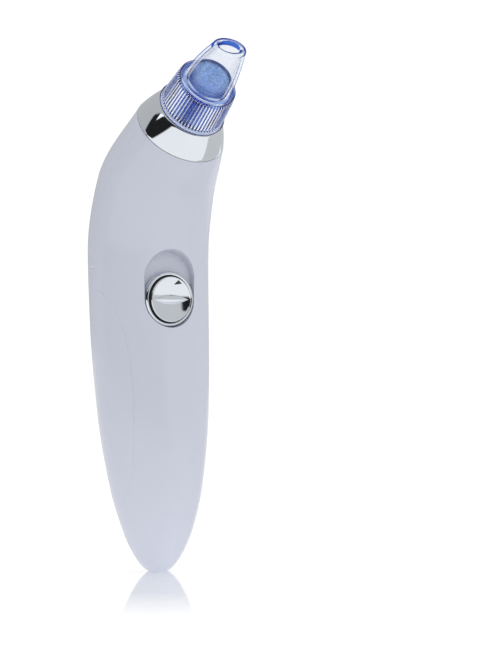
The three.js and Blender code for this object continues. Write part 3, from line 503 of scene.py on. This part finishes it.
def press_pocket(block):
    """Bends a square block of front-surface points round the knob's pocket and sinks its floor."""
    centre = np.array([0.0, (POCKET_TOP_Z + KNOB_Z) / 2])
    level = np.linspace(-1, 1, BLOCK_CELLS + 1)
    grid = np.stack(np.meshgrid(level, level, indexing="ij"))
    rho = np.abs(grid).max(0)
    # Where the ray from the block's middle through each point meets the block's edge, as rows and columns.
    border = (grid / np.maximum(rho, 1e-9) + 1) / 2 * BLOCK_CELLS
    row, column = np.clip(np.floor(border).astype(int), 0, BLOCK_CELLS - 1)
    across, along = (border - (row, column))[..., None]
    flat = block[..., [0, 2]]
    edge = (
        (1 - across) * (1 - along) * flat[row, column]
        + across * (1 - along) * flat[row + 1, column]
        + (1 - across) * along * flat[row, column + 1]
        + across * along * flat[row + 1, column + 1]
    )
    ray = edge - centre
    reach = np.linalg.norm(ray, axis=-1)
    direction = ray / np.maximum(reach, 1e-9)[..., None]
    upward = np.clip(direction[..., 1], 0, 1)
    flare = 0.1 + 0.85 * upward**1.3
    lip = stadium_reach(direction, POCKET_R) + flare
    floor = stadium_reach(direction, POCKET_R - 0.1)
    wall_in, wall_out = 0.36, 0.74
    inner = floor * rho / wall_in
    climb = np.clip((rho - wall_in) / (wall_out - wall_in), 0, 1)
    wall = floor + (lip - floor) * climb
    beyond = np.clip((rho - wall_out) / (1 - wall_out), 0, 1)
    outer = lip + (reach - lip) * beyond
    distance = np.where(rho < wall_in, inner, np.where(rho < wall_out, wall, outer))
    place = centre + direction * distance[..., None]
    surface = front_surface_y(place[..., 0].ravel(), place[..., 1].ravel()).reshape(rho.shape)
    rounding = climb**1.5 / (climb**1.5 + (1 - climb) ** 1.9 + 1e-9)
    depth = (POCKET_FLOOR_Y - surface) * (1 - rounding)
    return np.stack([place[..., 0], surface + depth, place[..., 1]], -1)


def casing_seam_gap(s):
    """Half the seam's width: a hair line round the cover, tighter still between the front and rear shells."""
    return np.where(s < S_COVER_TOP, 0.012, 0.006)


def front_skin_points():
    low, high = (distance_at_height(height) for height in BLOCK_HEIGHTS)
    rows = np.concatenate([
        row_distances(0, low, 1.1)[:-1],
        np.linspace(low, high, BLOCK_CELLS + 1),
        row_distances(high, RIM, 0.8)[1:],
    ])
    first = int(np.argmin(np.abs(rows - low)))
    half = sections(rows)[2]
    edge = seam_angle(rows) - casing_seam_gap(rows) / half
    inner = np.linspace(-BLOCK_ANGLE, BLOCK_ANGLE, BLOCK_CELLS + 1)
    spread = np.linspace(0, 1, BESIDE_BLOCK + 1)[1:]
    right = BLOCK_ANGLE + (edge[:, None] - BLOCK_ANGLE) * spread
    angles = np.concatenate([-right[:, ::-1], np.broadcast_to(inner, (len(rows), len(inner))), right], 1)
    points = on_form(rows[:, None], angles)
    block = points[first:first + BLOCK_CELLS + 1, BESIDE_BLOCK:BESIDE_BLOCK + BLOCK_CELLS + 1]
    block[:] = press_pocket(block)
    return points


def thicken(obj, thickness=SHELL_THICKNESS, edge=0.12, thin=None):
    """Gives a skin its wall and softens its cut edges. thin tells which places have a thinner wall."""
    wall = obj.modifiers.new("wall", "SOLIDIFY")
    if thin:
        group = obj.vertex_groups.new(name="thickness")
        for vertex in obj.data.vertices:
            group.add([vertex.index], THIN_SHARE if thin(vertex.co / MM) else 1.0, "REPLACE")
        wall.vertex_group = group.name
    wall.thickness = thickness * MM
    wall.offset = -1
    wall.use_even_offset = False
    soften = obj.modifiers.new("edges", "BEVEL")
    soften.width = edge * MM
    soften.segments = 2
    soften.limit_method = "ANGLE"
    soften.angle_limit = math.radians(60)
    apply_modifiers(obj)
    obj.data.shade_smooth()
    crease(obj, 40)


def cut_slot(obj):
    """Takes the slot that the knob's stem runs in out of a piece."""
    width, low, high = 2.3, KNOB_Z - 2.6, KNOB_Z + 8.1
    corners = [(-width, low), (width, low), (width, high), (-width, high)]
    mesh = mesh_of("slot", *ring_stack([[(x, y, z) for x, z in corners] for y in (-12.0, -2.5)]))
    tool = bpy.data.objects.new("slot", mesh)
    bpy.context.scene.collection.objects.link(tool)
    cut = obj.modifiers.new("slot", "BOOLEAN")
    cut.operation = "DIFFERENCE"
    cut.solver = "EXACT"
    cut.object = tool
    bpy.context.view_layer.update()
    apply_modifiers(obj)
    bpy.data.objects.remove(tool)
    bpy.data.meshes.remove(mesh)


def beside_pocket(point):
    """Whether a point is on the pocket's wall or its lip."""
    nearest = min(max(point.z, KNOB_Z), POCKET_TOP_Z)
    away = math.hypot(point.x, point.z - nearest)
    return point.y < -4 and POCKET_R - 0.5 < away < POCKET_R + 2.2


def front_shell():
    """The front skin, closed under the foot by a fan, with the knob's pocket and slot."""
    points = front_skin_points()
    rows, columns = points.shape[:2]
    faces = grid_faces(rows, columns).tolist()
    under = rows * columns
    faces += [(under, k + 1, k) for k in range(columns - 1)]
    faces.append((under, 0, columns - 1))
    points = np.concatenate([points.reshape(-1, 3), [(0.0, 0.2, 0.0)]])
    obj = build("front_shell_skin", points, faces, "casing", [CASING], ["front_shell"])
    thicken(obj, thin=beside_pocket)
    cut_slot(obj)


def back_skin(name, body, replaced, rows, edge, columns):
    """A skin round the back, from the front skin's edge on one side to the other."""
    gap = casing_seam_gap(rows) / sections(rows)[2]
    first = (edge + gap)[:, None]
    angles = first + 2 * (np.pi - first) * np.linspace(0, 1, columns)
    points = on_form(rows[:, None], angles).reshape(-1, 3)
    faces = grid_faces(len(rows), columns).tolist()
    thicken(build(name, points, faces, body, [CASING], [replaced]))


front_shell()
cover_rows = row_distances(0, S_COVER_TOP - 0.01, 1.1)
rear_rows = row_distances(S_COVER_TOP + 0.01, RIM, 0.9)
back_skin("battery_cover_skin", "battery_cover", "battery_cover", cover_rows, seam_angle(cover_rows), 150)
back_skin("rear_shell_skin", "casing", "rear_shell", rear_rows, np.pi / 2, 130)


def casing_land():
    """The inner land that the cover laps, and the lugs and bosses of the casing screws."""
    rows = np.linspace(distance_at_height(90.8), distance_at_height(100.5), 14)
    angles = np.radians(np.linspace(97, 263, 90))
    points = on_form(rows[:, None], angles, 2.3).reshape(-1, 3)
    obj = build("cover_land", points, grid_faces(len(rows), len(angles)).tolist(), "casing",
                [CASING])
    thicken(obj, 1.5, 0.1)
    hole = 1.45
    lug = [(hole, 0.0), (3.1, 0.0), (3.1, 5.6), (2.35, 5.6), (2.35, 1.7), (hole, 1.7), (hole, 0.0)]
    boss = [(hole, 0.0), (2.6, 0.0), (2.6, 13.5), (hole, 13.5), (hole, 0.0)]
    parts = []
    for side in (-1, 1):
        for outline, start in ((lug, 10.3), (boss, -3.5)):
            points, faces = turned(rounded(outline, 0.1), 40, closed=True)
            x, z, y = points.T
            parts.append((np.stack([x + side * SCREW_X, y + start, SCREW_Z - z], -1), faces))
    points, faces = join(parts)
    crease(build("screw_bosses", points, faces, "casing", [CASING]))


casing_land()

# ---------------------------------------------------------------- chrome collar


COLLAR_CROWN = 0.30                  # how far its side bulges from a straight cone


def chrome_collar():
    count = 200
    turn = np.linspace(0, 2 * np.pi, count, endpoint=False)
    low, high = RIM, COLLAR_TOP
    # Up the outside and round the top edge.
    form_rings = [(low + 0.08, 0.25), (low + 0.10, 0.10), (low + 0.2, 0.02), (low + 0.35, 0.0)]
    for share in np.linspace(0.06, 0.95, 18):
        form_rings.append((low + (high - low) * share, -COLLAR_CROWN * 4 * share * (1 - share)))
    form_rings += [(high - 0.15, 0.03), (high - 0.03, 0.15), (high, 0.4)]
    rings = [on_form(s, turn, inset) for s, inset in form_rings]
    # Down the bore, and back down inside to the sleeve in the casing.
    for radius, height in [(8.2, -0.2), (7.9, -0.25), (7.8, -0.45), (7.8, -1.4), (8.4, -1.6)]:
        rings.append(placed(circle(radius, height, count), HEAD_POS, HEAD_LEAN))
    for s, inset in [(high - 2.4, 1.5), (low + 1.0, 3.2), (low - 4, 3.6), (low - 4, 2.5), (low + 0.08, 2.5)]:
        rings.append(on_form(s, turn, inset))
    points, faces = ring_stack(rings, closed=True)
    obj = build("chrome_collar_ring", points, faces, "casing", [CHROME], ["chrome_collar"])
    crease(obj, 38)


chrome_collar()

# ---------------------------------------------------------------- nozzle and suction tip

RIBS = 60
RIB_LIFT = 0.5
TIP_SIDES = RIBS * 8
FLANGE_TOP = 0.95
SOCKET_R = 8.1                       # the tip's bore on the nozzle
CRESCENT_RINGS = 9


def head_piece(name, shape, body, materials, replaced, degrees=35):
    points, faces = shape
    obj = build(name, placed(points, HEAD_POS, HEAD_LEAN), faces, body, materials, [replaced])
    crease(obj, degrees)
    return obj


def head_places(obj):
    """Each polygon with its middle's height along the head's axis, its radius and its angle."""
    up = (0.0, -math.sin(HEAD_LEAN), math.cos(HEAD_LEAN))
    upper_side = (0.0, math.cos(HEAD_LEAN), math.sin(HEAD_LEAN))
    for polygon in obj.data.polygons:
        away = polygon.center / MM - HEAD_POS
        high = away.dot(upper_side)
        yield polygon, away.dot(up), math.hypot(away.x, high), math.atan2(high, away.x)


def nozzle():
    recess_r, recess_floor = 5.8, 14.0
    outline = [
        (1.3, -9.0), (2.1, -9.0), (2.4, -7.8), (2.0, -7.4), (2.0, -4.4), (7.0, -3.2), (7.0, -2.0),
        (7.5, -1.6), (7.5, 6.2), (6.0, 6.2), (6.0, 8.6), (7.5, 8.6), (7.5, 10.2), (6.15, 11.1),
        (5.75, 11.6), (5.75, 13.4), (6.1, 13.8), (6.1, NOZZLE_LENGTH), (recess_r, NOZZLE_LENGTH),
        (recess_r, recess_floor), (4.4, recess_floor), (4.4, 0.0), (1.3, -2.6), (1.3, -9.0),
    ]
    obj = head_piece("nozzle_body", turned(rounded(outline, 0.35, 5), 128, closed=True), "casing",
                     [NOZZLE, NOZZLE_RECESS_SHADE], "nozzle")
    # The wall of the recess that holds the filter is painted a deep blue: painted shade in the recess.
    for polygon, up, radius, _ in head_places(obj):
        if recess_floor + 0.2 < up < NOZZLE_LENGTH - 0.04 and radius < recess_r + 0.06:
            polygon.material_index = 1
    seal = [(7.05 + 0.8 * math.cos(a), 7.4 + 0.8 * math.sin(a)) for a in np.linspace(0, 2 * np.pi, 20)[:-1]]
    head_piece("nozzle_seal", turned(seal, 128, closed=True), "casing", [SEAL], "nozzle_o_ring")


def filter_disc():
    """A slightly domed foam disc with a pitted face."""
    rng = np.random.default_rng(7)
    count = 96
    disc_r, face = 5.7, 15.6
    rings = [circle(r, h, count) for r, h in [(1e-3, 14.1), (5.4, 14.1), (disc_r, 14.4), (disc_r, 15.45)]]
    for radius in np.linspace(5.6, 0.05, 40):
        ring = circle(radius, face + 0.4 * (1 - (radius / disc_r) ** 2), count)
        ring[:, 2] += rng.normal(0, 0.05, count) * min(1.0, radius)
        rings.append(ring)
    head_piece("filter_disc", ring_stack(rings), "casing", [FOAM], "nozzle_filter", 80)


def tip_ring(height, radius_x, radius_y=None, rib=0.0):
    ring = circle(radius_x, height, TIP_SIDES, radius_y)
    phase = np.arange(TIP_SIDES) / TIP_SIDES * RIBS * 2 * np.pi
    lift = rib * np.clip(0.5 + 0.85 * np.cos(phase), 0, 1)
    outward = ring[:, :2] / np.linalg.norm(ring[:, :2], axis=1)[:, None]
    ring[:, :2] += outward * lift[:, None]
    return ring


def cup_size(share, inset=0.0):
    """Half width and half depth of the cup at a share of its height."""
    foot = 7.9
    return tuple(foot - (foot - mouth) * share**1.5 - inset for mouth in (5.6, 3.55))


def cup_ring(share, inset=0.0):
    return tip_ring(TIP_LIP + CUP_HEIGHT * share, *cup_size(share, inset))


def mouth_rings(upper):
    """The mouth's thick rim, rounded over.

    Its rings follow two crescents on the upper side, one along the outer edge and one above the hole. upper
    is how far each side of the tip is on that side.
    """
    first, last = math.radians(10), math.radians(170)
    edge = np.maximum(np.arccos(1 - 1.1 * upper**0.7), math.radians(22))
    hollow = last - np.radians(6 + 39 * upper**0.7)
    turn = np.linspace(0, 2 * np.pi, TIP_SIDES, endpoint=False)
    for step in np.linspace(0, 3, 3 * CRESCENT_RINGS + 1):
        outward, between, inward = np.clip([step, step - 1, step - 2], 0, 1)
        bend = first + (edge - first) * outward + (hollow - edge) * between + (last - hollow) * inward
        mix = 0.5 - 0.5 * np.cos(bend)
        wide, deep = (outer + (inner - outer) * mix for outer, inner in zip(cup_size(0.93), MOUTH))
        rise = TIP_LIP + CUP_HEIGHT * (0.925 + 0.075 * np.sin(bend) ** 0.8)
        yield np.stack([wide * np.sin(turn), -deep * np.cos(turn), rise], -1)


def suction_tip():
    """Flange, ribbed grip ring, lip and clear cup, out to the oval mouth and back down the inside."""
    rings = [tip_ring(0.12, SOCKET_R), tip_ring(0.0, SOCKET_R + 0.15), tip_ring(0.0, 10.8)]
    for a in np.radians(np.linspace(-75, 75, 6)):
        rings.append(tip_ring(0.475 + 0.42 * math.sin(a), 10.75 + 0.35 * math.cos(a)))
    rings.append(tip_ring(FLANGE_TOP, 10.5))
    for share in np.concatenate([[0.0, 0.015, 0.04, 0.08], np.linspace(0.14, 0.9, 9), [0.94, 0.97, 1.0]]):
        fade = min(1.0, share / 0.05, (1 - share) / 0.05)
        rings.append(tip_ring(1.0 + (TIP_LIP - 1.9) * share, 10.1 - 0.85 * share, rib=RIB_LIFT * fade))
    lip = [(9.35, 11.55), (9.45, 11.8), (9.45, 12.15), (9.3, 12.38), (9.05, 12.42), (8.6, 12.4), (8.2, 12.42)]
    rings += [tip_ring(up, radius) for radius, up in lip]
    rings += [cup_ring(share) for share in np.concatenate([[0.005, 0.02], np.linspace(0.06, 0.9, 22)])]
    upper = np.clip(-np.cos(np.linspace(0, 2 * np.pi, TIP_SIDES, endpoint=False)), 0, 1)
    rim_start = len(rings)
    rings += list(mouth_rings(upper))
    rim_end = len(rings)
    rings += [tip_ring(TIP_LIP + CUP_HEIGHT * share, *MOUTH) for share in (0.935, 0.90)]
    rings += [cup_ring(share, 0.95) for share in np.linspace(0.84, 0.0, 20)]
    rings += [tip_ring(11.4, 6.95), tip_ring(11.2, 7.2), tip_ring(11.2, 8.0)]
    rings += [tip_ring(up, SOCKET_R) for up in (11.05, 8.0, 4.0, 1.0)]
    materials = [CLEAR, GRIP, BEAD, SHOULDER, THICK, GROOVE]
    shape = ring_stack(rings, closed=True)
    obj = head_piece("suction_tip_clear", shape, "suction_tip", materials, "suction_tip", 42)
    # The grip ring is a deeper blue than the cup, deeper again between its ribs, and deepest in the beads at
    # its ends and round the mouth. The mouth's two crescents and the upper half of the hole's wall are thick.
    for polygon, up, radius, angle in head_places(obj):
        ring, side = divmod(polygon.index, TIP_SIDES)
        in_edge_crescent = rim_start - 1 <= ring < rim_start + CRESCENT_RINGS
        in_hole_crescent = rim_end - 1 - CRESCENT_RINGS <= ring < rim_end + 1
        low_bead = up < FLANGE_TOP and radius > 10.0
        high_bead = 11.5 < up < TIP_LIP + 0.05 and radius > 8.9
        if upper[side] > 0.04 and (in_edge_crescent or in_hole_crescent):
            finish = THICK
        elif low_bead or high_bead or up > TIP_LIP + CUP_HEIGHT * 0.93:
            finish = BEAD
        elif up > TIP_LIP + 0.05:
            finish = CLEAR
        elif up > TIP_LIP - 0.1:
            finish = SHOULDER
        elif up > FLANGE_TOP and radius > 9.0 and math.cos(angle * RIBS) < 0:
            finish = GROOVE
        else:
            finish = GRIP
        polygon.material_index = materials.index(finish)


nozzle()
filter_disc()
suction_tip()

# ---------------------------------------------------------------- slide knob


def knob_points(points):
    """Local knob points, z outwards, stood on the pocket's floor facing the front."""
    x, y, z = np.asarray(points, float).T
    return np.stack([x, KNOB_BACK_Y - z, KNOB_Z + y], -1)


def arc_points(centre, radius, height, start, end, steps):
    """Points of an arc in a profile, without its first."""
    turns = np.radians(np.linspace(start, end, steps)[1:])
    return [(centre[0] + radius * math.cos(a), centre[1] + height * math.sin(a)) for a in turns]


def slide_knob():
    """A rounded ring, in it a proud dished disc a little to one side, and a leaf-shaped fin across it."""
    count = 200
    hollow, disc = 7.5, 7.3
    shift = (0.18, -0.06)
    groove, ring_top, disc_top, dish = 2.05, 2.45, 3.0, 2.25
    axis = 0.001
    bead = 0.5 * (KNOB_R - hollow)
    profile = [(axis, 0.0), (KNOB_R - 0.4, 0.0), (KNOB_R - 0.1, 0.1), (KNOB_R, 0.4)]
    profile.append((KNOB_R, ring_top - bead))
    profile += arc_points((KNOB_R - bead, ring_top - bead), bead, bead, 0, 180, 17)
    profile += [(hollow, groove + 0.05), (hollow - 0.05, groove), (axis, groove)]
    base = turned(profile, count)

    profile = [(axis, groove - 0.3), (disc, groove - 0.3), (disc, disc_top - 0.25)]
    profile += arc_points((disc - 0.22, disc_top - 0.25), 0.22, 0.25, 0, 90, 7)
    profile.append((disc - 0.32, disc_top - 0.02))
    inner = disc - 0.42
    for radius in inner * np.linspace(1, 0, 28) + axis:
        profile.append((radius, dish + (disc_top - 0.1 - dish) * (radius / inner) ** 2))
    points, faces = turned(profile, count)
    cap = (points + (*shift, 0.0), faces)

    length, width, foot, top = 6.5, 1.6, 1.6, 3.35
    arch = np.linspace(0, math.pi, 19)
    fin = []
    for along in np.linspace(-1, 1, 61):
        spread = width * (1 - along**2) ** 0.9 + 0.02
        rise = top - 0.5 * abs(along) ** 3 - foot
        fin.append([
            (length * along + shift[0], spread * math.cos(a) + shift[1], foot + rise * math.sin(a) ** 0.8)
            for a in arch
        ])
    stem = [[(2.1 * x, 2.3 * y, z) for x, y in SQUARE] for z in (0.5, -2.2)]
    points, faces = join([base, cap, ring_stack(fin), ring_stack(stem)])
    obj = build("slide_knob_cap", knob_points(points), faces, "slide_knob", [CHROME, MARK_AND_GAP_SHADE],
                ["slide_knob"])
    crease(obj, 50)
    # The disc's wall and the floor of the gap round it are painted black: painted shade in the gap.
    for polygon in obj.data.polygons:
        middle = polygon.center / MM
        height = KNOB_BACK_Y - middle.y
        from_disc = math.hypot(middle.x - shift[0], middle.z - KNOB_Z - shift[1])
        disc_wall = abs(from_disc - disc) < 0.02 and height < disc_top - 0.25
        gap_floor = abs(height - groove) < 0.06
        if disc_wall or gap_floor:
            polygon.material_index = 1

    # A plain pointer in place of the printed mark.
    mark = [(1.6, 4.7), (4.1, 5.0), (2.9, 6.1)]
    points, faces = ring_stack([[(x, y, z) for x, y in mark] for z in (2.3, 3.02)])
    crease(build("knob_pointer", knob_points(points), faces, "slide_knob", [MARK_AND_GAP_SHADE]))


slide_knob()

# ---------------------------------------------------------------- cells and springs


def cells():
    can_r, button_r, can_end = 7.15, 2.7, 49.3
    outline = rounded([
        (0, 0), (6.6, 0), (6.6, 0.35), (can_r - 0.1, 0.45), (can_r, 0.8), (can_r, can_end - 0.3),
        (6.9, can_end), (6.3, can_end), (button_r + 0.05, can_end + 0.05), (button_r, CELL_LENGTH),
        (0, CELL_LENGTH),
    ], 0.25)
    profile = [(0.001, 0.0)] + [point for point in outline if point[0] > 0.3] + [(0.001, CELL_LENGTH)]
    for side, label, flip in ((-1, "left", False), (1, "right", True)):
        points, faces = turned(profile, 72)
        if flip:
            points = points * (1, -1, -1) + (0, 0, CELL_LENGTH)
        stood = placed(points + (side * CELL_X, 0, 0), CELL_POS, CELL_LEAN)
        obj = build(f"cell_{label}", stood, faces, "casing", [NICKEL, SLEEVE, BAND],
                    [f"battery_{label}"])
        crease(obj)
        # The sleeve covers the can's side, with a band at the positive end.
        for polygon in obj.data.polygons:
            middle = points[list(polygon.vertices)].mean(0)
            height = CELL_LENGTH - middle[2] if flip else middle[2]
            if math.hypot(middle[0], middle[1]) > can_r - 0.4:
                polygon.material_index = 2 if height > 38 else 1


def coil(name, centre, replaced):
    """A spring that narrows as it rises, standing on a point of the cells' frame."""
    rise = np.linspace(0, 1, 90)
    turn = 2.6 * 2 * np.pi * rise
    radius = 3.0 - 0.75 * rise
    path = np.stack([radius * np.cos(turn), radius * np.sin(turn), rise], -1) + centre
    points, faces = tube(placed(path, CELL_POS, CELL_LEAN), 0.22, 10)
    build(name, points, faces, "casing", [NICKEL], [replaced])


cells()
coil("bridge_coil", (-CELL_X, 0, -1.4), "bridge_spring")
coil("minus_coil", (CELL_X, 0, CELL_LENGTH + 0.4), "minus_spring")

# ---------------------------------------------------------------- materials of the CAD pieces that stay

SLOT_MATERIALS = {
    "casing_plastic": CASING, "chrome_trim": CHROME, "clear_tip": CLEAR, "nozzle_plastic": NOZZLE,
    "filter_foam": FOAM, "black_rubber": RUBBER, "black_plastic": BLACK, "grey_plastic": GREY,
    "plated_steel": NICKEL, "screw_steel": ZINC, "board_laminate": BOARD, "cell_sleeve": SLEEVE,
    "magnet_ferrite": FERRITE, "motor_copper": COPPER, "silicone": SILICONE, "red_lead": RED_VINYL,
    "black_lead": BLACK_VINYL,
}
for entry in frame["record"]["subparts"]:
    node = frame["nodes"][entry["node"]]
    node.data.materials.clear()
    node.data.materials.append(SLOT_MATERIALS[entry["material_slot"]])

# ---------------------------------------------------------------- studio

TABLE_GLOW = (0.02, 0.13, 0.75, 0.0)      # light that the table gives the model: from and to this far, in m
TABLE_WHITE = 0.05                        # and that keeps its own surface white
TABLE_MIRROR = (0.045, 0.092, 1.65, 0.0)  # how strongly it mirrors: from and to this far


def studio_floor():
    """White floor, polished round the foot and fading to matt away from it."""
    reach = 6.0
    mesh = bpy.data.meshes.new("floor")
    mesh.from_pydata([(x * reach, y * reach, 0) for x, y in SQUARE], [], [(0, 1, 2, 3)])
    floor = bpy.data.objects.new("floor", mesh)
    bpy.context.scene.collection.objects.link(floor)
    material, tree, _ = new_material("white_acrylic")
    where = add(tree, "TexCoord", {}).outputs["Object"]
    far = add(tree, "VectorMath", {0: where}, operation="LENGTH").outputs["Value"]
    glow = map_range(tree, far, *TABLE_GLOW)
    to_model = add(tree, "LightPath", {}).outputs["Is Diffuse Ray"]
    strength = add(tree, "Math", {0: glow, 1: to_model, 2: TABLE_WHITE}, operation="MULTIPLY_ADD")
    lamp = add(tree, "Emission", {"Strength": strength.outputs["Value"]}).outputs["Emission"]
    table = add(tree, "BsdfDiffuse", {"Color": (0.95, 0.95, 0.95, 1)}).outputs["BSDF"]
    matt = add(tree, "AddShader", {0: table, 1: lamp}).outputs["Shader"]
    mirror = add(tree, "BsdfGlossy", {"Color": (1, 1, 1, 1), "Roughness": 0.0}).outputs["BSDF"]
    grazing = add(tree, "Fresnel", {"IOR": 1.45}).outputs["Fac"]
    fade = map_range(tree, far, *TABLE_MIRROR)
    share = add(tree, "Math", {0: fade, 1: grazing}, operation="MULTIPLY").outputs["Value"]
    show(tree, mix_shader(tree, share, matt, mirror))
    mesh.materials.append(material)
    floor.visible_glossy = False


CAMERA_SIDE = Vector((-0.5446, -0.8387, 0.0))     # from the body towards the camera
CAMERA_RIGHT = Vector((0.8387, -0.5446, 0.0))
WHITE = 1.04                                      # the backdrop


# Reflections. Bearings are in degrees from the camera's side, to its right positive; heights are sines of
# elevation.
ROOM_LEFT = 0.50
ROOM_RIGHT = 0.60
ROOM_BACK = 1.0                     # the part of the room behind the model, seen past its edges
TABLE = 0.93
DARK_LEVEL = 0.015
LAMP_LEVEL = 1.1
DARK_BEARINGS = (-74.0, 51.0)       # the dark side of the room, behind the camera
LAMP_BEARINGS = (-60.0, -45.0)      # a lamp over it
GREY_BEARINGS = (89.0, 141.0)       # where the table reflects the room
BACK_BEARINGS = (164.0, 172.0)
LAMP_HEIGHTS = (0.36, 0.47)
DARK_FOOT = -0.02                   # it starts at the horizon
DARK_TOP = 0.30                     # and ends here straight ahead, lower towards the right
DARK_FALL = 0.0025                  # by this much a degree


class Sky:
    """Sums on the sky's direction, as nodes."""

    def __init__(self, tree):
        self.tree = tree
        self.direction = add(tree, "TexCoord", {}).outputs["Generated"]

    def along(self, vector):
        inputs = {0: self.direction, 1: vector}
        return add(self.tree, "VectorMath", inputs, operation="DOT_PRODUCT").outputs["Value"]

    def sum_of(self, operation, a, b=0.0):
        return add(self.tree, "Math", {0: a, 1: b}, operation=operation).outputs["Value"]

    def ramp(self, value, low, high, to_low=0.0, to_high=1.0):
        return map_range(self.tree, value, low, high, to_low, to_high, interpolation_type="SMOOTHSTEP")

    def between(self, value, low, high, soft):
        rise = self.ramp(value, low - soft, low + soft)
        fall = self.ramp(value, high - soft, high + soft, 1.0, 0.0)
        return self.sum_of("MULTIPLY", rise, fall)

    def mix(self, factor, a, b):
        return add(self.tree, "Mix", {0: factor, 2: a, 3: b}, data_type="FLOAT").outputs[0]


def studio_world():
    """White to the camera, an even light on matt surfaces, and a studio with a dark side for glossy ones."""
    world = bpy.data.worlds.new("studio")
    bpy.context.scene.world = world
    world.use_nodes = True
    tree = world.node_tree
    tree.nodes.clear()
    sky = Sky(tree)
    front = sky.along(CAMERA_SIDE)
    right = sky.along(CAMERA_RIGHT)
    up = sky.along((0, 0, 1))
    bearing = sky.sum_of("MULTIPLY", sky.sum_of("ARCTAN2", right, front), 180 / math.pi)

    room = sky.mix(sky.ramp(bearing, -40, 70), ROOM_LEFT, ROOM_RIGHT)
    height = sky.sum_of("ADD", up, sky.sum_of("MULTIPLY", bearing, DARK_FALL))
    dark = sky.sum_of("MULTIPLY", sky.between(bearing, *DARK_BEARINGS, 2.0),
                   sky.ramp(height, DARK_TOP, DARK_TOP + 0.04, 1, 0))
    dark = sky.sum_of("MULTIPLY", dark, sky.ramp(up, DARK_FOOT - 0.02, DARK_FOOT + 0.02))
    lamp = sky.sum_of("MULTIPLY", sky.between(bearing, *LAMP_BEARINGS, 1.0),
                      sky.between(up, *LAMP_HEIGHTS, 0.01))
    above = sky.mix(lamp, sky.mix(dark, room, DARK_LEVEL), LAMP_LEVEL)
    table = sky.mix(sky.between(bearing, *GREY_BEARINGS, 0.8), TABLE, ROOM_RIGHT)
    level = sky.mix(sky.ramp(up, -0.05, -0.02), table, above)
    behind = sky.ramp(sky.sum_of("ABSOLUTE", bearing), *BACK_BEARINGS)
    reflected = sky.mix(behind, level, ROOM_BACK)

    lit = sky.sum_of("ADD", sky.ramp(right, -1, 1, 1.04, 1.36), sky.ramp(up, -0.1, 1.0, 0.0, -0.14))
    ray = add(tree, "LightPath", {}).outputs
    glossy = sky.sum_of("MULTIPLY", ray["Is Glossy Ray"], sky.sum_of("SUBTRACT", 1, ray["Is Singular Ray"]))
    glossy = sky.sum_of("MULTIPLY", glossy, sky.sum_of("SUBTRACT", 1, ray["Is Transmission Ray"]))
    strength = sky.mix(ray["Is Diffuse Ray"], sky.mix(glossy, WHITE, reflected), lit)
    light = add(tree, "Background", {"Color": (1.0, 1.0, 1.0, 1), "Strength": strength}).outputs["Background"]
    add(tree, "OutputWorld", {"Surface": light})


def camera():
    data = bpy.data.cameras.new("camera")
    data.lens = 90.0
    data.sensor_width = 36.0
    data.clip_start = 0.01
    data.clip_end = 30.0
    cam = bpy.data.objects.new("camera", data)
    cam.location = CAMERA_RIGHT * 0.0291 + CAMERA_SIDE * 0.540 + Vector((0, -0.0012, 0.077))
    cam.rotation_mode = "QUATERNION"
    cam.rotation_quaternion = (-CAMERA_SIDE).to_track_quat("-Z", "Y")
    bpy.context.scene.collection.objects.link(cam)
    bpy.context.scene.camera = cam


studio_floor()
studio_world()
camera()
bpy.context.scene.view_settings.view_transform = "Standard"
